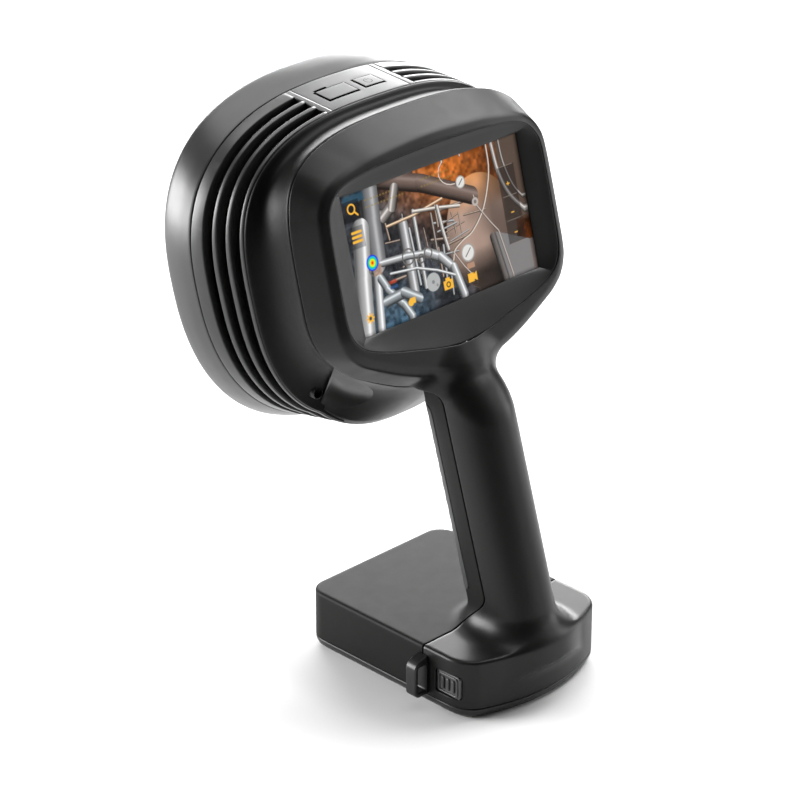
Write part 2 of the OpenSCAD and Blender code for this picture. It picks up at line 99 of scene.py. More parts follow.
# Photograph's viewpoint, in metres, and its focal length on a 36 mm sensor
CAMERA_AT = (0.9764, 0.9484, 0.7910)
CAMERA_LOOK = (-0.63356, -0.63977, -0.43507)
CAMERA_LENS = 146.6


# ---- meshes ------------------------------------------------------------------------------------
def piece(name, verts, faces, material, body="camera", replaces=(), smooth=True):
    """A mesh in millimetres becomes a piece that rides on a body."""
    mesh = bpy.data.meshes.new(name)
    mesh.from_pydata((np.asarray(verts, float) * MM).tolist(), [], [list(map(int, f)) for f in faces])
    mesh.validate()
    mesh.materials.append(material)
    ob = bpy.data.objects.new(name, mesh)
    bpy.context.scene.collection.objects.link(ob)
    bm = bmesh.new()
    bm.from_mesh(mesh)
    bmesh.ops.remove_doubles(bm, verts=bm.verts, dist=1e-6)
    bmesh.ops.recalc_face_normals(bm, faces=bm.faces)
    bm.to_mesh(mesh)
    bm.free()
    if smooth:
        mesh.shade_smooth()
    else:
        mesh.shade_flat()
    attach(ob, body)
    if replaces:
        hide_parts(*replaces)
    return ob


def merge(name, parts, material, replaces=(), body="camera", smooth=True):
    """Several meshes as one piece."""
    verts, faces, base = [], [], 0
    for v, f in parts:
        verts.append(np.asarray(v))
        faces += [[int(i) + base for i in q] for q in f]
        base += len(v)
    return piece(name, np.vstack(verts), faces, material, body, replaces, smooth)


def bevel(ob, width, segments=3, angle=35):
    """Rounds the sharp edges of a piece."""
    mod = ob.modifiers.new("edges", "BEVEL")
    mod.width = width * MM
    mod.segments = segments
    mod.limit_method = "ANGLE"
    mod.angle_limit = math.radians(angle)
    sharp = ob.modifiers.new("normals", "WEIGHTED_NORMAL")
    sharp.keep_sharp = True


def grid_faces(rows, cols, close_rows, close_cols):
    """Quads over rows of points; a closed direction joins its last line to the first."""
    i, j = np.meshgrid(np.arange(rows if close_rows else rows - 1),
                       np.arange(cols if close_cols else cols - 1), indexing="ij")
    i, j = i.ravel(), j.ravel()
    ii, jj = (i + 1) % rows, (j + 1) % cols
    return np.stack([i * cols + j, ii * cols + j, ii * cols + jj, i * cols + jj], 1)


def loft(loops, closed=False):
    """Solid through equal loops of points, capped at its ends unless it closes on itself."""
    loops = np.asarray(loops, float)
    rows, cols = loops.shape[:2]
    faces = grid_faces(rows, cols, closed, True).tolist()
    if not closed:
        faces += [list(range(cols))[::-1], [(rows - 1) * cols + k for k in range(cols)]]
    return loops.reshape(-1, 3), faces


def rounded(points, radii, steps=4):
    """Closed profile with its corners rounded by arcs of the given radii."""
    pts, out = np.asarray(points, float), []
    for k, p in enumerate(pts):
        r = radii[k] if hasattr(radii, "__len__") else radii
        a, b = pts[k - 1] - p, pts[(k + 1) % len(pts)] - p
        la, lb = np.linalg.norm(a), np.linalg.norm(b)
        r = min(r, la / 2.01, lb / 2.01)
        if r <= 0:
            out.append(p)
            continue
        p0, p2 = p + a / la * r, p + b / lb * r
        for s in np.linspace(0, 1, steps + 1):
            out.append((1 - s) ** 2 * p0 + 2 * s * (1 - s) * p + s * s * p2)
    return np.array(out)


def smooth_curve(points, steps=8, closed=False):
    """Catmull-Rom curve through the points."""
    p = np.asarray(points, float)
    n = len(p)
    if closed:
        ext = np.vstack([p[-1], p, p[0], p[1]])
    else:
        ext = np.vstack([2 * p[0] - p[1], p, 2 * p[-1] - p[-2]])
    out = []
    for k in range(n if closed else n - 1):
        a, b, c, d = ext[k:k + 4]
        for s in np.arange(steps) / steps:
            out.append(0.5 * (2 * b + (c - a) * s + (2 * a - 5 * b + 4 * c - d) * s * s
                              + (3 * b - a - 3 * c + d) * s ** 3))
    if not closed:
        out.append(p[-1])
    return np.array(out)


def rect(x0, x1, z0, z1):
    return [(x0, z0), (x1, z0), (x1, z1), (x0, z1)]


def in_loop(p, loop, grow):
    """True if a point is inside an outline shrunk by grow, or widened where grow is negative."""
    loop = np.asarray(loop, float)
    inside = False
    n = len(loop)
    near = 1e9
    for k in range(n):
        a, b = loop[k], loop[(k + 1) % n]
        if (a[1] > p[1]) != (b[1] > p[1]) and p[0] < a[0] + (b[0] - a[0]) * (p[1] - a[1]) / (b[1] - a[1]):
            inside = not inside
        d = b - a
        s = np.clip(((p[0] - a[0]) * d[0] + (p[1] - a[1]) * d[1]) / max(d @ d, 1e-9), 0, 1)
        near = min(near, math.hypot(p[0] - a[0] - s * d[0], p[1] - a[1] - s * d[1]))
    return inside and near > grow if grow >= 0 else inside or near < -grow


def filled(points, edges, outer, holes, limit):
    """Points and faces of a slab whose plan is an outline with holes.

    The points are those of the upper side; the lower side's follow in the same order.
    """
    verts, _e, faces, *_rest = delaunay_2d_cdt([Vector(p) for p in points], edges, [], 0, limit)
    flat = np.array([tuple(v) for v in verts])
    good = []
    for f in faces:
        c = flat[list(f)].mean(0)
        if in_loop(c, outer, 0) and not any(in_loop(c, h, 0) for h in holes):
            good.append(list(f))
    n = len(flat)
    seen = dict.fromkeys((a, b) for f in good for a, b in zip(f, f[1:] + f[:1]))
    sides = [[b, a, a + n, b + n] for a, b in seen if (b, a) not in seen]
    under = [[i + n for i in f[::-1]] for f in good]
    return flat, good + under + sides


# ---- the head's surface -------------------------------------------------------------------------
def head_point(x, y, z):
    c, s = math.cos(math.pi / 2 + HEAD_LEAN), math.sin(math.pi / 2 + HEAD_LEAN)
    return np.stack([x + 0 * z, HEAD_Y + y * c - z * s, HEAD_Z + y * s + z * c], -1)


def to_head(p):
    c, s = math.cos(math.pi / 2 + HEAD_LEAN), math.sin(math.pi / 2 + HEAD_LEAN)
    dy, dz = p[..., 1] - HEAD_Y, p[..., 2] - HEAD_Z
    return p[..., 0], dy * c + dz * s, -dy * s + dz * c


def head_outline(t, z, grow):
    """Head's outline at angle t and depth z, in the head frame."""
    t, z, grow = np.broadcast_arrays(np.asarray(t, float), np.asarray(z, float), np.asarray(grow, float))
    a = HEAD_A + np.minimum(z, 0) * TAPER_A
    b = HEAD_B + np.where(z < 0, z * TAPER_B, z * FLARE)
    n = SQUARE + SQUARE_GAIN * np.clip(-z / VENT_LEN, 0, 1)
    c, s = np.cos(t), np.sin(t)
    r = ((np.abs(c) / (a + grow)) ** n + (np.abs(s) / (b + grow)) ** n) ** (-1 / n)
    x = r * c * (1 + EGG * r * s / b)
    sag = CHIN_DROP * np.clip(-z / VENT_LEN, 0, 1) * (1 - np.minimum(1, np.abs(x) / CHIN_LIP_W) ** 2.5)
    return x, r * s - np.where(s < 0, sag, 0), z


def head_surface(t, z, grow):
    return head_point(*head_outline(t, z, grow))


def head_angle(x, z, side=1):
    """Angle at which the outline is x from the centre line, near the top or the bottom."""
    f = 1 + side * EGG
    n = SQUARE + SQUARE_GAIN * min(1, max(0, -z / VENT_LEN))
    a = HEAD_A + min(z, 0) * TAPER_A
    b = HEAD_B + (z * TAPER_B if z < 0 else z * FLARE)
    return math.atan2(b * (1 - (x / f / a) ** n) ** (1 / n), x / f)


def around_head(profile, part="all", x=0.0, steps=RING_STEPS):
    """Sweeps a profile of (growth, depth) points round the head, or round a part of it."""
    loops = []
    for k in range(steps if part == "all" else steps + 1):
        u = k / steps
        loop = []
        for grow, z in profile:
            h = 0 if part == "all" else head_angle(x, z, -1 if part == "bottom" else 1)
            t = {"all": -2 * math.pi * u,
                 "bottom": -h + (2 * h - math.pi) * u,
                 "round": h - (2 * h + math.pi) * u}[part]
            loop.append(head_surface(t, z, grow))
        loops.append(loop)
    return loft(loops, part == "all")


# ---- the screen's frame -------------------------------------------------------------------------
def screen_point(u, v, w):
    c, s = math.cos(SCREEN_TILT), math.sin(SCREEN_TILT)
    u, v, w = np.broadcast_arrays(np.asarray(u, float), np.asarray(v, float), np.asarray(w, float))
    return np.stack([-u, SCREEN_Y - v * s + w * c, SCREEN_Z + v * c + w * s], -1)


def to_screen(p):
    c, s = math.cos(SCREEN_TILT), math.sin(SCREEN_TILT)
    dy, dz = p[..., 1] - SCREEN_Y, p[..., 2] - SCREEN_Z
    return -p[..., 0], -dy * s + dz * c, dy * c + dz * s


def polar_outline(half):
    """Radius against angle of a closed outline, from its points on the side u > 0, top to bottom."""
    half = np.asarray(half, float)
    mirrored = half[::-1][1:-1] * [-1, 1]
    curve = smooth_curve(np.vstack([half, mirrored]), 24, True)
    t = np.arctan2(curve[:, 1], curve[:, 0])
    r = np.hypot(curve[:, 0], curve[:, 1])
    order = np.argsort(t)
    t, r = t[order], r[order]
    angles = np.linspace(-math.pi, math.pi, 1441)
    return angles, np.interp(angles, t, r, period=2 * math.pi)


# The housing's edge at the seam, the rim's outer edge and the rim's inner edge
SEAM_LINE = polar_outline([(0, 60.5), (22, 60), (39, 58.4), (52, 55.4), (61, 51.8), (69.5, 45.8),
                           (75.5, 37), (78.8, 24), (79.7, 8), (79.6, -10), (79, -23), (76, -33),
                           (70, -41.5), (60, -50.4), (43, -59.2), (28, -65.2), (12, -69), (0, -70)])
RIM_LINE = polar_outline([(0, 47.6), (30, 46), (45, 43.8), (57, 41.3), (64.5, 38), (69.6, 32.5),
                          (72.2, 25), (73, 8), (73.2, -10), (73.2, -25), (72, -32), (68.3, -38.9),
                          (62, -44.2), (54, -48.4), (36, -56.5), (18, -62), (0, -64)])
INNER_LINE = polar_outline([(0, 42.2), (30, 41.4), (45, 40.2), (55, 38.4), (61, 35.8), (65.6, 31),
                            (68, 24), (68.8, 8), (68.9, -10), (68.6, -23), (66.6, -30.5),
                            (61.6, -36), (53.5, -39.9), (42, -43.4), (30, -46.2), (15, -49.6), (0, -51.2)])


def radius(line, u, v):
    return np.interp(np.arctan2(v, u), line[0], line[1])


def outline_gap(line, u, v):
    """Distance from an outline, negative inside."""
    t = np.arctan2(v, u)
    r0 = radius(line, u, v)
    step = 0.01
    slope = (np.interp(t + step, line[0], line[1], period=2 * math.pi)
             - np.interp(t - step, line[0], line[1], period=2 * math.pi)) / (2 * step)
    return (np.hypot(u, v) - r0) / np.sqrt(1 + (slope / r0) ** 2)


# ---- solids as distance fields ------------------------------------------------------------------
def join(a, b, r):
    """Union of two fields with a concave fillet of radius r."""
    u, v = np.maximum(r - a, 0), np.maximum(r - b, 0)
    return np.maximum(r, np.minimum(a, b)) - np.hypot(u, v)


def meet(a, b, r):
    """Intersection of two fields with a convex edge of radius r."""
    u, v = np.maximum(r + a, 0), np.maximum(r + b, 0)
    return np.minimum(-r, np.maximum(a, b)) + np.hypot(u, v)


def grip_axis(z):
    return GRIP_BASE_Y - (z - BASE_TOP) * math.tan(GRIP_LEAN)


def grip_field(p):
    x, y = np.abs(p[..., 0]), p[..., 1] - grip_axis(p[..., 2])
    r = ((x / GRIP_A) ** GRIP_N + (np.abs(y) / GRIP_B) ** GRIP_N) ** (1 / GRIP_N)
    r = np.maximum(r, 1e-3)
    gx = (x / GRIP_A) ** (GRIP_N - 1) / GRIP_A * r ** (1 - GRIP_N)
    gy = (np.abs(y) / GRIP_B) ** (GRIP_N - 1) / GRIP_B * r ** (1 - GRIP_N)
    return (r - 1) / np.maximum(np.hypot(gx, gy * 1.05), 0.02)


def plan_field(p, inset=0.0):
    """Plan of the base: straight sides, two rounded corners ahead, a bowed back."""
    x, y = p[..., 0], p[..., 1]
    side = np.abs(x) - BASE_W + inset
    front = -y - BASE_FRONT + inset
    back = np.hypot(x, y - BASE_BACK + BOW_R) - BOW_R + inset
    return meet(meet(side, front, CORNER_R - inset), back, BACK_R - inset)


def base_field(p):
    return meet(plan_field(p), p[..., 2] - BASE_TOP, EDGE_R)


def housing_field(p):
    u, v, w = to_screen(p)
    f = np.clip((w - SEAM_W) / (RIM_OUT_W - SEAM_W), -0.6, 1.4)
    seam, rim = outline_gap(SEAM_LINE, u, v), outline_gap(RIM_LINE, u, v)
    side = (seam + (rim - seam) * f) * 0.9
    face = w - RIM_OUT_W - (RIM_IN_W - RIM_OUT_W) * np.clip(-rim / 4.0, -1, 1)
    return meet(side, face, 0.9)


def grip_back_field(p):
    """The grip with its shoulder, which slopes down to the screen's rim."""
    _u, v, w = to_screen(p)
    end = (v - SHOULDER_V) * math.sin(SHOULDER_SLOPE) + (w - SHOULDER_W) * math.cos(SHOULDER_SLOPE)
    body = meet(grip_field(p), end, SHOULDER_R)
    return np.maximum(body, GRIP_FOOT - p[..., 2])


def rear_field(p):
    upper = join(housing_field(p), grip_back_field(p), NECK_FILLET)
    return join(upper, base_field(p), BASE_FILLET)


def front_field(p):
    body = np.maximum(grip_field(p), GRIP_FOOT - p[..., 2])
    return join(body, base_field(p), BASE_FILLET)


def seam_field(p):
    """Positive on the rear shell's side of the seam."""
    y, z = p[..., 1], p[..., 2]
    down = np.clip((BEND_Z - z) / BEND_LEN, 0, 1)
    bend = down * down * (3 - 2 * down)
    line = grip_axis(z) + SEAM_BACK
    side = (y - (line + (SPLIT_Y - line) * bend)) * math.cos(GRIP_LEAN)
    w = to_screen(p)[2]
    top = meet(-(w - SEAM_W), SEAM_TOP - z, 2.0)
    return -join(-side, top, 5.0)


def nets(field, low, high, step):
    """Mesh of the surface field = 0 in a box, with its points moved exactly onto it."""
    axes = [np.arange(a, b + step, step) for a, b in zip(low, high)]
    shape = tuple(len(a) for a in axes)
    value = np.empty(shape)
    for k, x in enumerate(axes[0]):
        yy, zz = np.meshgrid(axes[1], axes[2], indexing="ij")
        value[k] = field(np.stack([np.full_like(yy, x), yy, zz], -1))
    inside = value < 0
    corners = [(a, b, c) for a in (0, 1) for b in (0, 1) for c in (0, 1)]
    cut = [slice(None, -1), slice(1, None)]
    count = sum(inside[cut[a], cut[b], cut[c]].astype(int) for a, b, c in corners)
    cells = np.argwhere((count > 0) & (count < 8))
    index = -np.ones(tuple(s - 1 for s in shape), int)
    index[tuple(cells.T)] = np.arange(len(cells))
    total, hits = np.zeros((len(cells), 3)), np.zeros(len(cells))
    for axis in range(3):
        others = [k for k in range(3) if k != axis]
        for a in (0, 1):
            for b in (0, 1):
                start = np.zeros(3, int)
                start[others[0]], start[others[1]] = a, b
                end = start.copy()
                end[axis] = 1
                f0, f1 = value[tuple((cells + start).T)], value[tuple((cells + end).T)]
                cross = (f0 < 0) != (f1 < 0)
                share = np.where(cross, f0 / np.where(cross, f0 - f1, 1), 0)
                at = np.tile(start.astype(float), (len(cells), 1))
                at[:, axis] = share
                total += at * cross[:, None]
                hits += cross
    verts = np.array(low) + step * (cells + total / hits[:, None])
    faces = []
    for axis in range(3):
        others = [(axis + 1) % 3, (axis + 2) % 3]
        lower = [slice(None)] * 3
        upper = [slice(None)] * 3
        lower[axis], upper[axis] = cut
        edges = np.argwhere(inside[tuple(lower)] != inside[tuple(upper)])
        for k in others:
            edges = edges[(edges[:, k] > 0) & (edges[:, k] < shape[k] - 1)]
        quad = []
        for a, b in ((-1, -1), (0, -1), (0, 0), (-1, 0)):
            cell = edges.copy()
            cell[:, others[0]] += a
            cell[:, others[1]] += b
            quad.append(index[tuple(cell.T)])
        faces.append(np.stack(quad, 1))
    faces = np.vstack(faces)
    for _ in range(4):
        verts = onto(field, verts)
    across = np.cross(verts[faces[:, 2]] - verts[faces[:, 0]], verts[faces[:, 3]] - verts[faces[:, 1]])
    inward = (across * gradient(field, verts[faces].mean(1))).sum(1) < 0
    faces[inward] = faces[inward][:, ::-1]
    return verts, faces


def gradient(field, p, h=0.02):
    g = np.empty_like(p)
    for k in range(3):
        d = np.zeros(3)
        d[k] = h
        g[:, k] = (field(p + d) - field(p - d)) / (2 * h)
    return g


def onto(field, p, limit=1.0):
    """Moves points one Newton step towards field = 0."""
    g = gradient(field, p)
    step = field(p)[:, None] * g / np.maximum((g * g).sum(1), 0.05)[:, None]
    size = np.linalg.norm(step, axis=1, keepdims=True)
    return p - step * np.minimum(1, limit / np.maximum(size, 1e-9))


def keep_side(verts, faces, side):
    """Cuts a mesh along side = 0 and keeps the part where side > 0, as triangles."""
    tris = np.vstack([faces[:, [0, 1, 2]], faces[:, [0, 2, 3]]]) if faces.shape[1] == 4 else faces
    value = side(verts)
    value = np.where(np.abs(value) < 1e-4, 1e-4, value)
    sign = value > 0
    inside = sign[tris].sum(1)
    out = tris[inside == 3].tolist()
    verts = verts.tolist()
    made = {}

    def middle(a, b):
        key = (min(a, b), max(a, b))
        if key not in made:
            s = value[a] / (value[a] - value[b])
            made[key] = len(verts)
            verts.append([verts[a][k] + (verts[b][k] - verts[a][k]) * s for k in range(3)])
        return made[key]

    for tri in tris[(inside > 0) & (inside < 3)]:
        for k in range(3):
            a, b, c = (int(tri[(k + j) % 3]) for j in range(3))
            if sign[a] and not sign[b] and not sign[c]:
                out.append([a, middle(a, b), middle(a, c)])
            elif sign[a] and sign[b] and not sign[c]:
                d, e = middle(b, c), middle(a, c)
                out += [[a, b, d], [a, d, e]]
    return compact(np.array(verts), np.array(out))


def compact(verts, faces):
    used = np.unique(faces)
    remap = -np.ones(len(verts), int)
    remap[used] = np.arange(len(used))
    return verts[used], remap[faces]


def largest(verts, faces):
    """Keeps the connected part with the most faces."""
    label = np.arange(len(verts))
    while True:
        low = label[faces].min(1)
        new = label.copy()
        for k in range(faces.shape[1]):
            np.minimum.at(new, faces[:, k], low)
        new = new[new]
        if (new == label).all():
            break
        label = new
    name, count = np.unique(label[faces[:, 0]], return_counts=True)
    return compact(verts, faces[label[faces[:, 0]] == name[count.argmax()]])


def lip(verts, faces, field, round_r, depth):
    """Gives the open edge of a cut shell a small round and a wall that goes inwards."""
    edges = np.vstack([faces[:, [0, 1]], faces[:, [1, 2]], faces[:, [2, 0]]])
    keys = edges[:, 0].astype(np.int64) * len(verts) + edges[:, 1]
    back = edges[:, 1].astype(np.int64) * len(verts) + edges[:, 0]
    border = edges[~np.isin(keys, back)]
    ids = np.unique(border)
    place = {int(v): k for k, v in enumerate(ids)}
    p = verts[ids]
    normal = gradient(field, p)
    normal /= np.linalg.norm(normal, axis=1, keepdims=True)
    along = np.zeros_like(p)
    for a, b in border:
        d = verts[b] - verts[a]
        d /= max(np.linalg.norm(d), 1e-9)
        along[place[int(a)]] += d
        along[place[int(b)]] += d
    out = np.cross(along, normal)
    out /= np.maximum(np.linalg.norm(out, axis=1, keepdims=True), 1e-9)
    rings = [p + out * round_r * math.sin(a) - normal * round_r * (1 - math.cos(a))
             for a in (math.pi / 6, math.pi / 3, math.pi / 2)]
    rings.append(rings[-1] - normal * depth)
    base = len(verts)
    all_verts = np.vstack([verts] + rings)
    n = len(ids)
    extra = []
    for a, b in border:
        last = [int(a), int(b)]
        first = [base + place[i] for i in last]
        for k in range(len(rings)):
            new = [i + k * n for i in first]
            extra += [[last[1], last[0], new[0]], [last[1], new[0], new[1]]]
            last = new
    return all_verts, np.vstack([faces, np.array(extra)])


# ---- materials ----------------------------------------------------------------------------------
def nodes_of(name):
    material = bpy.data.materials.new(name)
    material.use_nodes = True
    tree = material.node_tree
    return material, tree, tree.nodes["Principled BSDF"]


def noise(tree, scale, detail=4.0, rough=0.5):
    coord = tree.nodes.new("ShaderNodeTexCoord")
    node = tree.nodes.new("ShaderNodeTexNoise")
    node.inputs["Scale"].default_value = scale
    node.inputs["Detail"].default_value = detail
    node.inputs["Roughness"].default_value = rough
    tree.links.new(coord.outputs["Object"], node.inputs["Vector"])
    return node.outputs["Fac"]


def ramp(tree, fac, low, high, start=0.3, end=0.7):
    """Maps a value between two greys or colours."""
    node = tree.nodes.new("ShaderNodeValToRGB")
    for stop, place, tone in ((0, start, low), (1, end, high)):
        node.color_ramp.elements[stop].position = place
        rgb = tone if hasattr(tone, "__len__") else (tone, tone, tone)
        node.color_ramp.elements[stop].color = (*rgb, 1)
    tree.links.new(fac, node.inputs["Fac"])
    return node.outputs["Color"]


def bump(tree, shader, height, strength, distance):
    node = tree.nodes.new("ShaderNodeBump")
    node.inputs["Strength"].default_value = strength
    node.inputs["Distance"].default_value = distance * MM
    tree.links.new(height, node.inputs["Height"])
    tree.links.new(node.outputs["Normal"], shader.inputs["Normal"])


def moulded(name, colour, rough, grain=0.35, spread=0.05, edge=0.0, gloss=0.4):
    """Moulded plastic: a spark-eroded grain, faint handling marks and a lighter tone along sharp edges."""
    material, tree, shader = nodes_of(name)
    clouds = noise(tree, 38.0, 5.0, 0.6)
    marks = noise(tree, 160.0, 3.0, 0.5)
    grains = noise(tree, 5200.0, 2.0, 0.6)
    c = np.array(colour, float)
    base = ramp(tree, clouds, tuple(c * (1 - spread)), tuple(c * (1 + spread)))
    # edge lightens the colour where the surface is sharply convex
    if edge:
        geometry = tree.nodes.new("ShaderNodeNewGeometry")
        mask = ramp(tree, geometry.outputs["Pointiness"], 0.0, 1.0, 0.53, 0.62)
        mix = tree.nodes.new("ShaderNodeMix")
        mix.data_type = "RGBA"
        tree.links.new(mask, mix.inputs["Factor"])
        tree.links.new(base, mix.inputs[6])
        mix.inputs[7].default_value = (*(c * (1 + edge)), 1)
        base = mix.outputs[2]
    tree.links.new(base, shader.inputs["Base Color"])
    tree.links.new(ramp(tree, marks, rough - 0.02, rough + 0.02), shader.inputs["Roughness"])
    shader.inputs["Specular IOR Level"].default_value = gloss
    bump(tree, shader, grains, grain, 0.02)
    return material


def brushed(name, colour, rough):
    """Bare metal with fine drawn lines."""
    material, tree, shader = nodes_of(name)
    coord = tree.nodes.new("ShaderNodeTexCoord")
    mapping = tree.nodes.new("ShaderNodeMapping")
    mapping.inputs["Scale"].default_value = (4000, 60, 60)
    tree.links.new(coord.outputs["Object"], mapping.inputs["Vector"])
    lines = tree.nodes.new("ShaderNodeTexNoise")
    lines.inputs["Scale"].default_value = 1.0
    tree.links.new(mapping.outputs["Vector"], lines.inputs["Vector"])
    c = np.array(colour, float)
    tree.links.new(ramp(tree, lines.outputs["Fac"], tuple(c * 0.85), tuple(np.minimum(1, c * 1.1))),
                   shader.inputs["Base Color"])
    tree.links.new(ramp(tree, lines.outputs["Fac"], rough - 0.08, rough + 0.08), shader.inputs["Roughness"])
    shader.inputs["Metallic"].default_value = 1.0
    bump(tree, shader, lines.outputs["Fac"], 0.15, 0.01)
    return material


def board(name):
    """Circuit board: green lacquer over a pattern of copper tracks."""
    material, tree, shader = nodes_of(name)
    coord = tree.nodes.new("ShaderNodeTexCoord")
    tracks = tree.nodes.new("ShaderNodeTexBrick")
    tracks.inputs["Scale"].default_value = 160.0
    tracks.inputs["Mortar Size"].default_value = 0.03
    tracks.inputs["Color1"].default_value = (0.012, 0.09, 0.035, 1)
    tracks.inputs["Color2"].default_value = (0.010, 0.075, 0.03, 1)
    tracks.inputs["Mortar"].default_value = (0.03, 0.17, 0.07, 1)
    tree.links.new(coord.outputs["Object"], tracks.inputs["Vector"])
    tree.links.new(tracks.outputs["Color"], shader.inputs["Base Color"])
    tree.links.new(ramp(tree, noise(tree, 90.0), 0.28, 0.4), shader.inputs["Roughness"])
    bump(tree, shader, tracks.outputs["Fac"], 0.3, 0.03)
    return material


def clear(name, tint, rough, ior=1.45):
    """Clear glass or acrylic with a trace of smear in its gloss."""
    material, tree, shader = nodes_of(name)
    smear = noise(tree, 60.0, 3.0)
    tree.links.new(ramp(tree, smear, rough, rough + 0.04), shader.inputs["Roughness"])
    tree.links.new(ramp(tree, smear, tuple(np.array(tint) * 0.98), tint), shader.inputs["Base Color"])
    shader.inputs["Transmission Weight"].default_value = 1.0
    shader.inputs["IOR"].default_value = ior
    return material


def glossy_black(name, colour, rough):
    """Dark optical surface behind the front glass, with faint dust in its gloss."""
    material, tree, shader = nodes_of(name)
    c = np.array(colour, float)
    tree.links.new(ramp(tree, noise(tree, 70.0), tuple(c * 0.85), tuple(c * 1.15)),
                   shader.inputs["Base Color"])
    tree.links.new(ramp(tree, noise(tree, 240.0), rough, rough + 0.05), shader.inputs["Roughness"])
    shader.inputs["Coat Weight"].default_value = 0.4
    shader.inputs["Coat Roughness"].default_value = 0.05
    return material


def lit_picture(name):
    """The backlit picture: its colours are painted on the mesh and it shines a little."""
    material, tree, shader = nodes_of(name)
    paint = tree.nodes.new("ShaderNodeAttribute")
    paint.attribute_name = "picture"
    shader.inputs["Base Color"].default_value = (0.01, 0.01, 0.01, 1)
    tree.links.new(paint.outputs["Color"], shader.inputs["Emission Color"])
    shader.inputs["Emission Strength"].default_value = 1.0
    shader.inputs["Specular IOR Level"].default_value = 0.05
    tree.links.new(ramp(tree, noise(tree, 240.0), 0.18, 0.24), shader.inputs["Roughness"])
    return material


SHELL = moulded("shell_plastic", (0.0062, 0.0060, 0.0058), 0.36, edge=0.6, gloss=0.26)
FRONT = moulded("front_shell_plastic", (0.0075, 0.0072, 0.0070), 0.52, edge=0.6, gloss=0.12)
RING = moulded("ring_plastic", (0.020, 0.020, 0.020), 0.36, edge=0.8, gloss=0.55)
COVER = moulded("cover_plastic", (0.0035, 0.0034, 0.0033), 0.42, edge=0.4, gloss=0.12)
BEZEL = moulded("bezel_plastic", (0.0065, 0.0062, 0.0060), 0.40, grain=0.2, gloss=0.3)
KEYS = moulded("key_plastic", (0.032, 0.032, 0.033), 0.36, edge=0.5, gloss=0.6)
PAD = moulded("grip_rubber", (0.026, 0.027, 0.027), 0.55, grain=0.8, spread=0.15, gloss=0.4)
TRIM = moulded("trim_plastic", (0.010, 0.010, 0.010), 0.38, edge=0.5, gloss=0.4)
# Near-black for the vent liner, and painted shade on the upright walls of the key openings
INNER_BLACK_AND_GAP_SHADE = moulded("inner_black_and_gap_shade", (0.0015, 0.0015, 0.0015), 0.9, grain=0.2, gloss=0.05)
FACE = moulded("array_plastic", (0.012, 0.012, 0.0125), 0.5, grain=0.6)
PRINT = moulded("printed_mark", (0.004, 0.004, 0.004), 0.5, grain=0.1, gloss=0.1)
STEEL = brushed("drawn_steel", (0.55, 0.55, 0.56), 0.3)
ALLOY = brushed("cast_alloy", (0.6, 0.6, 0.62), 0.35)
GOLD = brushed("gold_plate", (0.85, 0.62, 0.25), 0.25)
BOARD = board("circuit_board")
LENS = glossy_black("lens_coating", (0.01, 0.012, 0.02), 0.04)
LAMP = clear("lamp_acrylic", (0.95, 0.95, 0.93), 0.05)
PICTURE = lit_picture("backlit_picture")
GLASS = clear("screen_glass", (1.0, 1.0, 1.0), 0.0, 1.08)


def dress_frame():
    """Every CAD node gets a finished material; some are then replaced by detailed pieces."""
    kinds = {"array_face": FACE, "mic_board": BOARD, "microphones": STEEL, "lens_barrel": TRIM,
             "lens_glass": LENS, "lamp_cups": ALLOY, "lamp_lenses": LAMP, "vent_liner": INNER_BLACK_AND_GAP_SHADE,
             "switch_board": BOARD, "cover_screws": STEEL, "display_glass": GLASS,
             "main_board": BOARD, "heat_sink": ALLOY, "handle_harness": PAD,
             "contact_block": TRIM, "battery_contacts": GOLD}
    for name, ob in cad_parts.items():
        ob.data.materials.clear()
        ob.data.materials.append(kinds.get(name, SHELL))


# ---- head pieces --------------------------------------------------------------------------------
def front_ring():
    d = RING_DEPTH
    nose = smooth_curve([(0, 0.3), (0.5, d / 2), (0.1, d), (-0.9, d + 2.6), (-2.8, d + 4.7),
                         (-5.4, d + 5.8), (-8.6, d + 6), (-10.6, d + 5.0)], 5)
    inner = [(-10.6, d + 1.6), (-4.5, d + 1.6), (-2.5, d - 3), (-2.5, 0.3)]
    profile = [(-0.35, 0.3), (-0.1, 0.4), (0.0, 0.65)] + nose[1:].tolist() + inner
    verts, faces = around_head(profile)
    piece("front_ring_shell", verts, faces, RING, replaces=("front_ring",))


def vents():
    """Two bands, two ribs, the rails beside the panel and the bridge underneath."""
    edges = [-0.3] + [-z for pair in SLOTS for z in pair] + [-VENT_LEN - 1]
    parts = []
    for k in range(0, 8, 2):
        profile = rounded([(0, edges[k]), (0, edges[k + 1]), (-4.2, edges[k + 1]), (-4.2, edges[k])],
                          [0.35, 0.55, 0, 0] if k == 0 else [0.6, 0.6, 0, 0])
        parts.append(around_head(profile, "round", RAIL_W, 300))
    profile = rounded([(-0.02, edges[0]), (-0.02, edges[-1]), (-6, edges[-1]), (-6, edges[0])],
                      [0.35, 0.35, 0, 0])
    parts.append(around_head(profile, "bottom", BRIDGE_W, 60))
    for side in (-1, 1):
        loops = []
        for x in np.linspace(PANEL_W + 0.3, RAIL_W + 0.4, 5):
            loop = []
            for grow, z in profile:
                t = head_angle(x, z)
                loop.append(head_surface(t if side > 0 else math.pi - t, z, grow))
            loops.append(loop)
        parts.append(loft(loops))
    merge("vent_ribs", parts, RING, ("vent_frame",))


def panel_height(x, z):
    """Height of the head's top outline at x, by a few fixed-point steps."""
    t = np.full_like(x, math.pi / 2)
    for _ in range(30):
        px, py, _z = head_outline(t, z, 0.0)
        t = np.clip(t + (px - x) / np.maximum(np.abs(py), 1) * 0.9, 0.2, math.pi - 0.2)
    return head_outline(t, z, 0.0)[1]


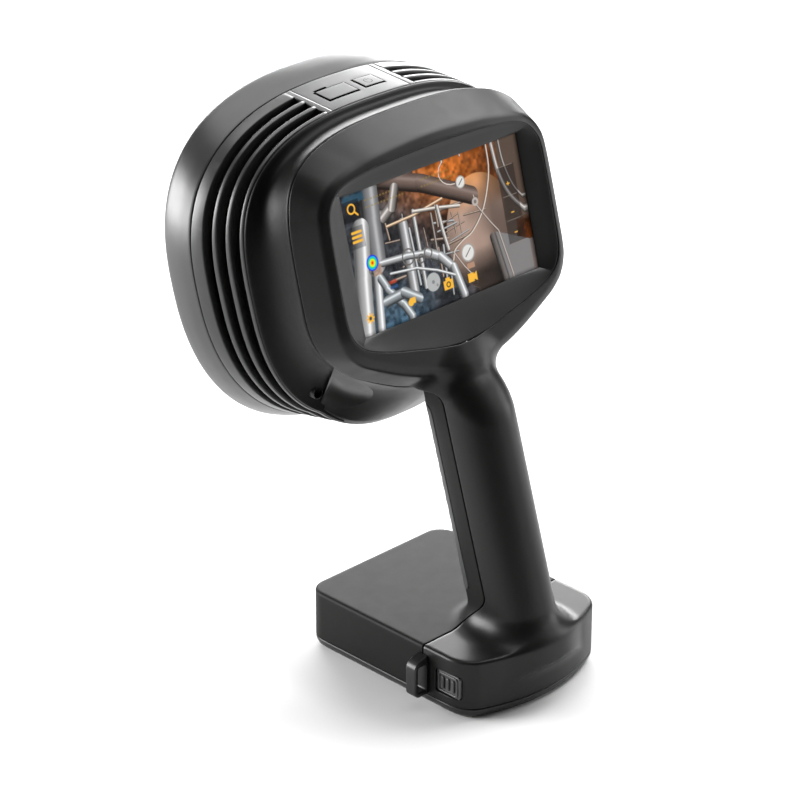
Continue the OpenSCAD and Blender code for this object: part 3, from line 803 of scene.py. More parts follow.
def top_patch(outer, holes, lift, depth, pitch=1.6):
    """A sheet on top of the head, from outlines in x and z, with its edges turned down."""
    pts, edges = [], []
    for loop in [outer] + holes:
        loop = np.asarray(loop, float)
        dense = []
        for k, p in enumerate(loop):
            q = loop[(k + 1) % len(loop)]
            n = max(1, int(np.linalg.norm(q - p) / pitch))
            dense += [p + (q - p) * s for s in np.arange(n) / n]
        base = len(pts)
        pts += dense
        edges += [(base + k, base + (k + 1) % len(dense)) for k in range(len(dense))]
    lo, hi = np.min(outer, 0), np.max(outer, 0)
    for x in np.arange(lo[0] + pitch, hi[0], pitch):
        for z in np.arange(lo[1] + pitch, hi[1], pitch * 1.7):
            if in_loop((x, z), outer, 0.4) and not any(in_loop((x, z), h, -0.4) for h in holes):
                pts.append(np.array([x, z]))
    flat, faces = filled(pts, edges, outer, holes, 1e-5)
    height = panel_height(flat[:, 0], flat[:, 1]) + lift
    top = head_point(flat[:, 0], height, flat[:, 1])
    low = head_point(flat[:, 0], height - depth, flat[:, 1])
    return np.vstack([top, low]), faces


def top_controls():
    """The panel with its two keys; each key shows a wide gap on two sides, a hairline on the rest.

    The menu key's opening runs on into a short bar ahead of the key.
    """
    hair = 0.14
    holes, keys = [], []
    for key in (MENU, POWER):
        x0, x1 = key["x"] - key["half"][0], key["x"] + key["half"][0]
        z0, z1 = KEY_Z - key["half"][1], KEY_Z + key["half"][1]
        holes.append(rect(x0, x1, z0, z1))
        keys.append(rect(x0 + hair, x1 - key["wide"], z0 + key["wide"], z1 - hair))
    bar_end = KEY_Z + MENU["half"][1] + 1.3
    bar = [(MENU["x"] + 8.6, bar_end), (MENU["x"] + 0.8, bar_end)]
    a, b, c, d = holes[0]
    holes[0] = [a, b, c, (bar[0][0], c[1]), *bar, (bar[1][0], d[1]), d]
    outer = rect(-PANEL_W + 0.1, PANEL_W - 0.1, -VENT_LEN - 0.8, -0.45)
    verts, faces = top_patch(outer, holes, -0.05, 2.6)
    panel = piece("control_panel", verts, faces, KEYS, replaces=("top_panel",))
    paint_gap_shade(panel)
    bevel(panel, 0.18, 2)
    caps = (("menu_cap", "menu_button", keys[0]), ("power_cap", "power_button", keys[1]))
    for name, body, loop in caps:
        verts, faces = top_patch(loop, [], -0.05, 1.6, 1.2)
        cap = piece(name, verts, faces, KEYS, body, (body,))
        paint_gap_shade(cap)
        bevel(cap, 0.18, 2)
    symbol(POWER["x"] - 0.2, KEY_Z + 0.4)


def paint_gap_shade(ob):
    """The upright walls of the key openings get the near-black material as painted shade, so that each gap
    reads as a dark line.
    """
    ob.data.materials.append(INNER_BLACK_AND_GAP_SHADE)
    up = Vector((0, math.cos(math.pi / 2 + HEAD_LEAN), math.sin(math.pi / 2 + HEAD_LEAN)))
    for polygon in ob.data.polygons:
        x, _y, z = to_head(np.array(polygon.center) / MM)
        inside = abs(x) < PANEL_W - 0.8 and -VENT_LEN - 0.2 < z < -1.0
        if inside and abs(polygon.normal.dot(up)) < 0.3:
            # painted shade: this wall takes the near-black material
            polygon.material_index = 1


def symbol(x, z):
    """A ring with a bar, the usual sign for a power key."""
    verts, faces = [], []

    def strip(points, half):
        base = len(verts)
        pts = np.asarray(points, float)
        for k, p in enumerate(pts):
            d = pts[min(k + 1, len(pts) - 1)] - pts[max(k - 1, 0)]
            d /= np.linalg.norm(d)
            for s in (-half, half):
                verts.append(p + s * np.array([-d[1], d[0]]))
        for k in range(len(pts) - 1):
            faces.append([base + 2 * k, base + 2 * k + 2, base + 2 * k + 3, base + 2 * k + 1])

    turn = np.linspace(0.5, 2 * math.pi - 0.5, 40)
    strip([(x + 2.0 * math.sin(a), z + 2.0 * math.cos(a)) for a in turn], 0.16)
    strip([(x, z + 0.6), (x, z + 2.4)], 0.16)
    flat = np.array(verts)
    pts = head_point(flat[:, 0], panel_height(flat[:, 0], flat[:, 1]) - 0.03, flat[:, 1])
    piece("power_sign", pts, faces, PRINT, "power_button")


def cover_curve(t, s):
    """Point of the cover between its lip (s = 0) and the display housing (s = 1)."""
    back = np.array([0, 1, 0])
    inward = np.array([-7.6 * math.cos(t), 0, -4.6 * math.sin(t)])
    b2 = head_surface(t, LIP_Z - 1.75, -1.1)
    u, v = math.cos(t), math.sin(t)
    r = radius(SEAM_LINE, -u, v) - 0.5
    e = screen_point(-u * r, v * r, SEAM_W - 0.55)
    p1 = b2 + inward + back * 2.0
    p2 = e + inward * 0.35 - back * 0.5 * (e - b2)[1]
    return (1 - s) ** 3 * b2 + 3 * (1 - s) ** 2 * s * p1 + 3 * (1 - s) * s ** 2 * p2 + s ** 3 * e


def cover_profile(t):
    """Section of the rear cover at angle t: lip, valley and neck, outside then inside."""
    back = np.array([0, 1, 0])
    a = head_surface(t, LIP_Z, -0.35)
    a2 = head_surface(t, LIP_Z - 0.25, -0.1)
    b = head_surface(t, LIP_Z - 1.3, -0.35)
    b2 = cover_curve(t, 0.0)
    curve = cover_curve(t, np.linspace(0, 1, 15)[1:, None])
    down = np.array([-2.6 * math.cos(t), 0, -2.6 * math.sin(t)])
    outside = [a, a2, b, b2] + list(curve)
    edge = [outside[-1] + down * 0.12 + back * 0.15]
    return outside + edge + [curve[-1] + down, curve[7] + down, b2 + down * 1.3, a + down * 1.4]


def chin_side(p):
    """Positive outside the chin's wedge."""
    x, z = np.abs(p[..., 0]), p[..., 2]
    edge = CHIN_LIP_W + (CHIN_TOP_W - CHIN_LIP_W) * (z - 130) / 36
    return np.where(z < 175, x - edge + 9.0, 50.0)


def rear_cover():
    loops = [cover_profile(-2 * math.pi * k / RING_STEPS) for k in range(RING_STEPS)]
    verts, faces = loft(loops, True)
    faces = np.array(faces)
    verts, faces = keep_side(verts, faces, chin_side)
    for s in (-1, 1):
        verts, faces = keep_side(verts, faces, lambda p, s=s: np.where(
            p[..., 1] < -5, np.hypot(p[..., 0] - s * SCREW[0], p[..., 2] - SCREW[1]) - 3.0, 50.0))
    piece("rear_cover_skin", verts, faces, COVER, replaces=("rear_cover",))
    depth = screw_depth()
    for s in (-1, 1):
        profile = [(3.25, -2.0), (3.25, 0.45), (2.9, 0.6), (2.6, 0.3), (2.5, 0.0), (2.5, -5.5),
                   (3.25, -5.5)]
        loops = [[screw_point(s, depth + d, r, a) for r, d in profile] for a in CIRCLE]
        verts, faces = loft(loops, True)
        piece("screw_cup_" + ("left" if s > 0 else "right"), verts, faces, TRIM)
    screws(depth)


def screw_point(side, y, r, a):
    return side * SCREW[0] + r * math.cos(a), y, SCREW[1] + r * math.sin(a)


def screws(depth):
    """Socket screws at the bottom of the two cups."""
    parts = []
    for s in (-1, 1):
        rings = [(2.45, -4.6), (2.45, -2.9), (2.2, -2.6), (1.5, -2.6)]
        loops = [[screw_point(s, depth + d, r, a) for a in CIRCLE] for r, d in rings]
        hexagon = [1.25 / math.cos((a % (math.pi / 3)) - math.pi / 6) for a in CIRCLE]
        for d in (-2.6, -3.9):
            loops.append([screw_point(s, depth + d, r, a) for a, r in zip(CIRCLE, hexagon)])
        parts.append(loft(loops))
    bevel(merge("socket_screws", parts, STEEL, ("cover_screws",)), 0.12, 2, 50)


def screw_depth():
    """Place of the cover's skin, front to back, at the screws."""
    points = [p for t in np.linspace(-1.4, -0.3, 120) for p in cover_profile(t)[4:18]]
    return min(points, key=lambda p: math.hypot(p[0] - SCREW[0], p[2] - SCREW[1]))[1]


# ---- display and shells -------------------------------------------------------------------------
def rear_shell():
    low, high = (-84.0, -42.0, 2.0), (84.0, 70.0, 276.0)
    verts, faces = nets(rear_field, low, high, 1.15)
    verts, faces = keep_side(verts, faces, lambda p: seam_field(p) - SEAM_GAP)
    verts, faces = keep_side(verts, faces, lambda p: p[..., 2] - FOOT_H - FOOT_GAP)

    def outside_rim(p):
        u, v, w = to_screen(p)
        return np.where((w > 0) & (v > -70), outline_gap(INNER_LINE, u, v) - 0.25, 50.0)

    verts, faces = keep_side(verts, faces, outside_rim)
    for s in (-1, 1):
        verts, faces = keep_side(verts, faces, lambda p, s=s: window_gap(p, s) - 0.25)
    verts, faces = largest(verts, faces)
    verts, faces = lip(verts, faces, rear_field, 0.3, 2.0)
    piece("rear_shell_skin", verts, faces, SHELL, replaces=("rear_shell",))


def window_gap(p, side):
    """Distance outside the latch's rounded window, on one side of the base."""
    y = np.abs(p[..., 1] - sum(LATCH_Y) / 2) - (LATCH_Y[1] - LATCH_Y[0]) / 2
    z = np.abs(p[..., 2] - sum(LATCH_Z) / 2) - (LATCH_Z[1] - LATCH_Z[0]) / 2
    return np.where(p[..., 0] * side > BASE_W - 6, meet(y, z, 1.8), 50.0)


def pad_gap(p):
    """Distance outside the grip pad's rounded outline, on the front of the grip."""
    x, y = p[..., 0], p[..., 1] - grip_axis(p[..., 2])
    angle = np.arctan2(-y / GRIP_B, np.abs(x) / GRIP_A)
    across = (PAD_ANGLE - angle) * 19.0
    up = np.abs(p[..., 2] - sum(PAD_Z) / 2) - (PAD_Z[1] - PAD_Z[0]) / 2
    return np.where(y < 5, meet(across, up, 4.0), 50.0)


def notch_depth(p):
    """Finger notches: short scoops across the front of the pad."""
    x, z = p[..., 0], p[..., 2]
    first, pitch = 128.0, 7.1
    k = np.clip(np.round((first - z) / pitch), 0, 8)
    off = (z - (first - pitch * k)) / 1.9
    scoop = np.exp(-off ** 2 * 1.6) * np.clip((14.5 - np.abs(x)) / 3.0, 0, 1)
    return 0.75 * scoop


def front_shell():
    low, high = (-50.0, -60.0, 2.0), (50.0, 40.0, 152.0)
    verts, faces = nets(front_field, low, high, 1.1)
    pad_v, pad_f = verts.copy(), faces.copy()
    verts, faces = keep_side(verts, faces, lambda p: -seam_field(p) - SEAM_GAP)
    verts, faces = keep_side(verts, faces, lambda p: p[..., 2] - FOOT_H - FOOT_GAP)
    verts, faces = keep_side(verts, faces, lambda p: 149.0 - p[..., 2])
    verts, faces = keep_side(verts, faces, lambda p: pad_gap(p) - 0.35)
    verts, faces = largest(verts, faces)
    verts, faces = lip(verts, faces, front_field, 0.25, 2.0)
    piece("front_shell_skin", verts, faces, FRONT, replaces=("front_shell",))
    verts, faces = keep_side(pad_v, pad_f, lambda p: -pad_gap(p) - 0.3)
    verts, faces = largest(verts, faces)
    normal = gradient(front_field, verts)
    verts = verts + normal * (0.25 - notch_depth(verts))[:, None]
    verts, faces = lip(verts, faces, front_field, 0.25, 1.5)
    piece("grip_pad", verts, faces, PAD, replaces=("grip_insert",))


def seam_angle(u):
    """Angle below the middle at which the housing's seam line reaches u."""
    t = -math.pi / 2
    for _ in range(25):
        r = float(radius(SEAM_LINE, math.cos(t), math.sin(t)))
        t += (u - r * math.cos(t)) / max(r, 1) * 0.9
    return t


def chin():
    """Smooth cover from the head's lip up to the display housing, round the grip.

    Its side edges lie on the dark cover; its middle runs straight from the lip to the housing.
    """
    half = math.pi / 2 - head_angle(CHIN_LIP_W, LIP_Z, -1)
    share = np.linspace(0, 1, 15)
    top_edge = math.pi / 2 + seam_angle(CHIN_TOP_W)
    edge = {}
    for side in (-1, 1):
        turns = [-math.pi / 2 + side * (half + (top_edge - half) * k) for k in share]
        edge[side] = np.array([cover_curve(t, k) for t, k in zip(turns, share)])
    loops = []
    for f in np.linspace(-1, 1, 121):
        side = 1 if f > 0 else -1
        ends = []
        for g in (f, side):
            a = head_surface(-math.pi / 2 + g * half, LIP_Z - 0.55, 0.0)
            t = seam_angle(-CHIN_TOP_W * g)
            r = float(radius(SEAM_LINE, math.cos(t), math.sin(t))) - 0.4
            b = screen_point(r * math.cos(t), r * math.sin(t), SEAM_W - 0.5)
            ends.append(a + (b - a) * share[:, None])
        weight = np.clip((abs(f) - 0.1) / 0.9, 0, 1) ** 1.25
        lift = np.array([0, 0.35, -0.35]) * np.sin(math.pi * share[:, None]) ** 0.5
        skin = ends[0] + (edge[side] - ends[1]) * weight + lift
        skin[0] = ends[0][0]
        skin[-1] = ends[0][-1]
        a0 = head_surface(-math.pi / 2 + f * half, LIP_Z - 0.3, -0.3)
        down = np.array([0, -2.0, 1.2])
        loops.append([a0] + list(skin) + [skin[-1] + down, skin[0] + down])
    verts, faces = loft(loops)
    faces = [q for q in faces if len(q) == 4]
    verts, faces = keep_side(verts, np.array(faces), lambda p: grip_field(p) - 0.2)
    piece("chin_skin", verts, faces, SHELL, replaces=("chin_cover",))


def bezel_dish():
    """Black dish inside the rim: flat walls down to the picture's window."""
    half_w, half_h = LCD_W / 2 + 1.3, LCD_H / 2 + 1.3
    shelf = RIM_IN_W - 0.45
    loops = []
    corner = math.atan2(half_h, half_w)
    angles = np.unique(np.concatenate([np.linspace(-math.pi, math.pi, 361)[:-1],
                                       [corner, -corner, math.pi - corner, corner - math.pi]]))
    for t in angles:
        c, s = math.cos(t), math.sin(t)
        r = float(radius(INNER_LINE, c, s))
        k = min(half_w / max(abs(c), 1e-6), half_h / max(abs(s), 1e-6))
        o, p = np.array([r * c, r * s]), np.array([k * c, k * s])
        d = (p - o) / np.linalg.norm(p - o)
        rows = [(o, 3.4), (o + d * 0.02, RIM_IN_W - 0.7), (o + d * 0.25, RIM_IN_W - 0.35),
                (o + d * 0.8, shelf)]
        rows += [(o + (p - o) * f, shelf - (shelf - FOOT_W - 0.7) * f)
                 for f in (0.2, 0.4, 0.6, 0.8, 0.96)]
        rows += [(p, FOOT_W + 0.6), (p, FOOT_W), (o, 2.4)]
        loops.append([screen_point(q[0], q[1], w) for q, w in rows])
    verts, faces = loft(loops, True)
    ob = piece("bezel_dish", verts, faces, BEZEL, replaces=("screen_bezel",))
    mark_corners(ob, half_w, half_h)


def mark_corners(ob, half_w, half_h):
    """Keeps the four mitres and the foot of the dish crisp."""
    mesh = ob.data
    co = np.array([v.co for v in mesh.vertices]) / MM
    u, v, w = to_screen(co)
    corner = np.abs(np.abs(np.arctan2(v, u)) % math.pi)
    target = math.atan2(half_h, half_w)
    mitre = (np.abs(corner - target) < 1e-4) | (np.abs(corner - math.pi + target) < 1e-4)
    foot = np.abs(w - FOOT_W - 0.6) < 1e-3
    for e in mesh.edges:
        a, b = e.vertices
        if (mitre[a] and mitre[b] and min(w[a], w[b]) < 3.6) or (foot[a] and foot[b]):
            e.use_edge_sharp = True


# ---- base details -------------------------------------------------------------------------------
def battery():
    """The battery's exposed foot, with a rounded lower edge, and its block inside the base."""
    loops = []
    for inset, z in [(5.2, 0.0), (4.2, 0.12), (2.9, 0.5), (1.7, 1.2), (0.8, 2.3), (0.25, 3.7),
                     (0.02, FOOT_H - 0.35), (0.3, FOOT_H - 0.05), (4.0, FOOT_H - 0.05)]:
        loop = []
        for t in np.linspace(-math.pi, math.pi, 161)[:-1]:
            low, high = 5.0, 90.0
            d = np.array([math.cos(t), math.sin(t), 0])
            for _ in range(24):
                mid = (low + high) / 2
                if plan_field(d * mid, inset) < 0:
                    low = mid
                else:
                    high = mid
            loop.append([d[0] * low, d[1] * low, z])
        loops.append(loop)
    block = [[(-38, -46, z), (38, -46, z), (38, 42, z), (-38, 42, z)]
             for z in (FOOT_H - 0.2, FOOT_H + 18)]
    merge("battery_case", [loft(loops), loft(block)], TRIM, ("battery_pack",), "battery")


def latch(side, name):
    """Latch button with a raised rim round three upright ribs."""
    cy, cz = sum(LATCH_Y) / 2, sum(LATCH_Z) / 2
    hy, hz = (LATCH_Y[1] - LATCH_Y[0]) / 2 - 0.35, (LATCH_Z[1] - LATCH_Z[0]) / 2 - 0.35
    x = BASE_W * side

    def plate(y, z, half_y, half_z, r, x_in, x_out):
        corners = rounded(rect(-half_y, half_y, -half_z, half_z), r, 6)
        e = 0.3
        loops = []
        for inset, depth in ((0, x_in), (0, x_out - e), (e * 0.3, x_out - e * 0.3), (e, x_out)):
            k = np.array([(half_y - inset) / half_y, (half_z - inset) / half_z])
            loops.append([(x + side * depth, y + c[0] * k[0], z + c[1] * k[1]) for c in corners])
        return loft(loops)

    parts = [plate(cy, cz, hy, hz, 1.6, -3.4, -0.75)]
    rim = rounded(rect(-hy + 1.3, hy - 1.3, -hz + 0.7, hz - 0.7), 1.6, 6)
    rim_in = rim * [(hy - 2.1) / (hy - 1.3), (hz - 1.5) / (hz - 0.7)]
    loops = [[(x + side * d, cy + p[0], cz + p[1]) for p in line]
             for line, d in ((rim, -0.8), (rim, -0.35), ((rim * 0.8 + rim_in * 0.2), -0.15),
                             ((rim * 0.2 + rim_in * 0.8), -0.15), (rim_in, -0.35), (rim_in, -0.8))]
    parts.append(loft(loops))
    for k in (-1, 0, 1):
        parts.append(plate(cy + k * 3.3, cz, 0.85, hz - 2.6, 0.5, -0.9, 0.1))
    merge(name + "_cap", parts, KEYS, (name,), name)


def strap_loop():
    """Bevelled block with an upright slot through it."""
    x0, reach = BASE_W + 0.05, 8.4
    y0, y1 = 20.6, 27.1
    z0, z1 = 5.9, 26.4
    outer = rounded([(0, z0), (reach - 2, z0), (reach, z0 + 2), (reach, z1 - 4),
                     (reach - 2.4, z1 - 1.6), (0, z1)], [0, 1.2, 1.2, 1.6, 1.6, 0], 5)
    hole = rounded(rect(1.4, 6.3, z0 + 2.6, z1 - 4.6), 1.1, 5)
    n, m = len(outer), len(hole)
    edges = [(k, (k + 1) % n) for k in range(n)] + [(n + k, n + (k + 1) % m) for k in range(m)]
    flat, faces = filled([*outer, *hole], edges, outer, [hole], 1e-6)
    ends = [np.stack([x0 + flat[:, 0], np.full(len(flat), y), flat[:, 1]], 1) for y in (y0, y1)]
    ob = piece("strap_loop", np.vstack(ends), faces, TRIM, replaces=("strap_bracket",))
    bevel(ob, 0.7, 3, 50)


# ---- picture on the screen ----------------------------------------------------------------------
class Canvas:
    """Colours painted on a grid of points over the picture, in millimetres from its top left."""

    def __init__(self, pitch):
        self.nx, self.ny = int(LCD_W / pitch) + 1, int(LCD_H / pitch) + 1
        self.x, self.y = np.meshgrid(np.linspace(0, LCD_W, self.nx), np.linspace(0, LCD_H, self.ny))
        self.rgb = np.zeros((self.ny, self.nx, 3))

    def blend(self, colour, mask):
        mask = np.clip(mask, 0, 1)[..., None]
        self.rgb = self.rgb * (1 - mask) + np.asarray(colour, float) * mask

    def segment(self, p, q):
        """Distance from a line, and the distance to its side with a sign."""
        d = np.array(q, float) - p
        length = np.linalg.norm(d)
        s = np.clip(((self.x - p[0]) * d[0] + (self.y - p[1]) * d[1]) / length ** 2, 0, 1)
        dx, dy = self.x - p[0] - s * d[0], self.y - p[1] - s * d[1]
        return np.hypot(dx, dy), (dx * -d[1] + dy * d[0]) / length

    def pipe(self, points, r, colour, dark=0.25, shine=0.35):
        """A round pipe along points, lit from one side."""
        for p, q in zip(points, points[1:]):
            d, side = self.segment(p, q)
            a = np.clip(side / r, -1, 1)
            light = dark + (1 - dark) * np.clip(1 - (a + 0.25) ** 2 * 0.9, 0, 1)
            gloss = np.exp(-((a + 0.35) / 0.22) ** 2) * shine
            rgb = np.asarray(colour)[None, None, :] * light[..., None] + gloss[..., None]
            self.blend(rgb, (r - d) / 0.25 + 0.5)

    def disc(self, c, r, colour, soft=0.3):
        self.blend(colour, (r - np.hypot(self.x - c[0], self.y - c[1])) / soft + 0.5)

    def ring(self, c, r, half, colour):
        self.blend(colour, (half - np.abs(np.hypot(self.x - c[0], self.y - c[1]) - r)) / 0.2 + 0.5)

    def box(self, x0, y0, x1, y1, colour, amount=1.0):
        inside = np.minimum(np.minimum(self.x - x0, x1 - self.x), np.minimum(self.y - y0, y1 - self.y))
        self.blend(colour, np.clip(inside / 0.2 + 0.5, 0, 1) * amount)


def lattice(x, y, seed):
    """Smooth noise from a fixed pattern of random values."""
    table = np.random.default_rng(seed).random((64, 64))
    i, j = np.floor(x).astype(int), np.floor(y).astype(int)
    fx, fy = x - i, y - j
    fx, fy = fx * fx * (3 - 2 * fx), fy * fy * (3 - 2 * fy)

    def at(a, b):
        return table[a % 64, b % 64]

    return ((at(i, j) * (1 - fx) + at(i + 1, j) * fx) * (1 - fy)
            + (at(i, j + 1) * (1 - fx) + at(i + 1, j + 1) * fx) * fy)


GREY = (0.62, 0.63, 0.64)
AMBER = (0.98, 0.66, 0.16)


def paint_plant(c):
    """A plant room: tall pipes on the left, a tank and warm light on the right."""
    n1, n2 = lattice(c.x / 5, c.y / 5, 1), lattice(c.x / 1.6, c.y / 1.6, 2)
    cold, warm = np.array([0.17, 0.18, 0.20]), np.array([0.30, 0.13, 0.05])
    share = np.clip((c.x - 22) / 50 - (c.y - 12) / 60, 0, 1)[..., None]
    base = cold * (1 - share) + warm * share
    c.rgb = base * (0.35 + 0.8 * n1[..., None]) * (0.6 + 0.8 * n2[..., None])
    glow = np.exp(-((c.x - 62) / 26) ** 2 - ((c.y - 3) / 14) ** 2)[..., None]
    c.rgb = c.rgb + glow * np.array([0.50, 0.22, 0.06]) * (0.5 + 0.7 * n2[..., None])
    low = np.clip((c.y - 42) / 22, 0, 1)[..., None] * np.clip((48 - c.x) / 20, 0, 1)[..., None]
    c.rgb = c.rgb * (1 - 0.6 * low) + low * np.array([0.10, 0.19, 0.26]) * (0.5 + n2[..., None])
    tank(c)
    for k in range(26):
        a = lattice(np.array([k * 1.7]), np.array([3.1]), 5)[0] * 60 + 18
        b = lattice(np.array([k * 2.3]), np.array([9.7]), 6)[0] * 34 + 14
        w = 0.35 + 0.5 * ((k * 7) % 5) / 5
        tone = (0.45, 0.36, 0.30) if k % 3 else (0.50, 0.51, 0.52)
        if k % 2:
            c.pipe([(a, b), (a + 9 + k % 6, b + (k % 5) - 2)], w, tone)
        else:
            c.pipe([(a, b), (a + (k % 3) - 1, b + 9 + k % 7)], w, tone)
    c.pipe([(26, -2), (50, 6), (79, 19.5)], 4.3, (0.34, 0.27, 0.24), shine=0.1)
    c.pipe([(16.5, 12), (24, 14.5), (30, 11), (33, 4)], 2.8, (0.50, 0.47, 0.45))
    c.pipe([(34, 21), (34, 52)], 3.2, (0.55, 0.55, 0.56))
    c.pipe([(41.5, 17), (41.5, 52)], 1.3, (0.60, 0.60, 0.60))
    c.pipe([(37.5, 24), (38.5, 50)], 0.8, (0.55, 0.56, 0.57))
    c.pipe([(25, 19.2), (42, 18.6), (60, 16)], 0.75, (0.80, 0.62, 0.46))
    c.pipe([(42, 17), (55, 19), (70, 22)], 0.9, (0.72, 0.68, 0.64))
    c.pipe([(56.5, 19), (57.5, 30), (59, 39)], 1.2, (0.62, 0.60, 0.58))
    c.pipe([(52, 21), (52, 40)], 0.7, (0.40, 0.36, 0.33))
    c.pipe([(17.5, -2), (15.8, 18), (15, 33)], 5.6, (0.42, 0.42, 0.43), shine=0.22)
    c.pipe([(9, 16), (4.5, 42), (1.5, 64)], 5.0, (0.62, 0.62, 0.62), dark=0.4, shine=0.35)
    c.pipe([(18, 34.4), (34, 35.6), (46, 37.6)], 1.75, GREY)
    c.pipe([(46, 37.6), (54, 42), (60.5, 49), (64.5, 64)], 2.5, GREY)
    c.pipe([(13.5, 40), (10.2, 64)], 2.7, (0.72, 0.73, 0.74))
    c.pipe([(15.5, 41), (19, 47.5), (27, 57), (31, 64)], 2.2, (0.55, 0.58, 0.60))
    c.pipe([(22, 40.5), (38, 42.5), (50, 47), (60, 52)], 0.7, (0.74, 0.75, 0.76))
    c.pipe([(17, 52), (28, 51), (36, 56)], 2.6, (0.50, 0.53, 0.55))
    for x, y, r in ((12.8, 35.5, 3.1), (46.3, 37.6, 2.3), (34, 36, 3.6), (41.5, 39, 1.9)):
        c.ring((x, y), r, 0.35, (0.30, 0.28, 0.27))
    c.box(12, 34, 17, 39, (0.62, 0.45, 0.36), 0.7)
    c.box(20, 43.5, 24.5, 45, (0.65, 0.16, 0.10), 0.8)
    c.box(20, 46, 25, 47.4, (0.12, 0.22, 0.42), 0.8)
    c.box(1.5, 0, 14, 3.4, (0.10, 0.22, 0.30), 0.8)
    hoses(c)
    gauges(c)


def tank(c):
    """The round vessel on the right and the grey floor in front of it."""
    d = np.hypot((c.x - 82) / 22.5, (c.y - 37) / 27)
    shade = 0.22 + 0.30 * np.clip(1 - ((c.x - 72) / 18) ** 2, 0, 1) + 0.15 * lattice(c.x / 7, c.y / 7, 8)
    warm = np.clip((28 - c.y) / 26, 0, 1)
    tones = (1 + 0.9 * warm, 0.80 + 0.25 * warm, 0.70 - 0.25 * warm)
    rgb = np.stack([shade * tone for tone in tones], -1)
    mask = np.clip((1 - d) / 0.02 + 0.5, 0, 1)
    c.blend(rgb, mask)
    low = np.clip((c.y - 44) / 12, 0, 1) * mask
    c.rgb = c.rgb * (1 - 0.75 * low[..., None])
    floor = np.minimum(c.x - 92.5 + (62 - c.y) * 0.12, c.y - 41 - (c.x - 93) * 0.45)
    floor = np.minimum(floor, 111 - c.x)
    c.blend((0.40, 0.39, 0.39), floor / 0.4)
    c.blend((0.24, 0.19, 0.16), np.minimum(c.x - 97, 40 - c.y) / 1.5 * 0.5)
    c.pipe([(88, 42), (92, 64)], 2.2, (0.30, 0.28, 0.27), shine=0.05)


def hoses(c):
    """Thin hoses and the copper line."""
    arc = [(70 + 9 * math.cos(a), 5 + 6.5 * math.sin(a)) for a in np.linspace(1.6, 5.4, 14)]
    c.pipe(arc, 0.35, (0.80, 0.72, 0.66))
    drop = smooth_curve([(93, -2), (92, 12), (85, 27), (76, 35.5), (69, 38), (63, 41), (61, 45)], 5)
    c.pipe(drop.tolist(), 0.6, (0.70, 0.62, 0.56))
    c.pipe([(80, 20), (81, 25), (88, 35), (92, 40), (97, 64)], 0.45, (0.60, 0.54, 0.50))
    c.pipe(smooth_curve([(96, -2), (98, 14), (103, 26), (112, 36)], 5).tolist(), 1.3, (0.55, 0.52, 0.50))
    c.pipe(smooth_curve([(101, -2), (102, 10), (106, 22), (112, 30)], 5).tolist(), 0.7, (0.42, 0.39, 0.37))
    c.pipe([(62, 42), (67, 50), (71, 55)], 0.35, (0.66, 0.60, 0.56))


def gauges(c):
    """Round white gauges with a needle."""
    for x, y, r in ((73.5, 11.8, 3.0), (70.6, 44.5, 4.3)):
        c.disc((x, y), r, (0.55, 0.54, 0.52))
        c.disc((x, y), r * 0.84, (0.86, 0.85, 0.83))
        needle = [(x - r * 0.4, y + r * 0.35), (x + r * 0.45, y - r * 0.4)]
        c.pipe(needle, 0.22, (0.15, 0.15, 0.15), shine=0)
    c.disc((46.3, 51.5), 4.3, (0.62, 0.63, 0.63))
    c.disc((46.3, 51.5), 0.9, (0.40, 0.41, 0.42))
    c.disc((48.5, 53.5), 0.7, (0.45, 0.46, 0.47))
    c.box(68.6, 49.5, 73.4, 52, (0.62, 0.44, 0.34))
    c.disc((80.5, 23), 2.0, (0.66, 0.62, 0.60))
    c.disc((80.5, 23), 0.9, (0.38, 0.34, 0.32))


def heat_spot(c):
    """The sound source, as a rainbow spot."""
    d = np.hypot((c.x - 12.2) / 3.6, (c.y - 32.5) / 3.7)
    tones = [(0.10, 0.15, 0.80), (0.05, 0.55, 0.95), (0.10, 0.85, 0.35), (0.85, 0.95, 0.10),
             (1.0, 0.55, 0.05), (0.95, 0.12, 0.05)]
    for k, tone in enumerate(tones):
        c.blend(tone, (1 - k * 0.17 - d) / 0.05 + 0.5)


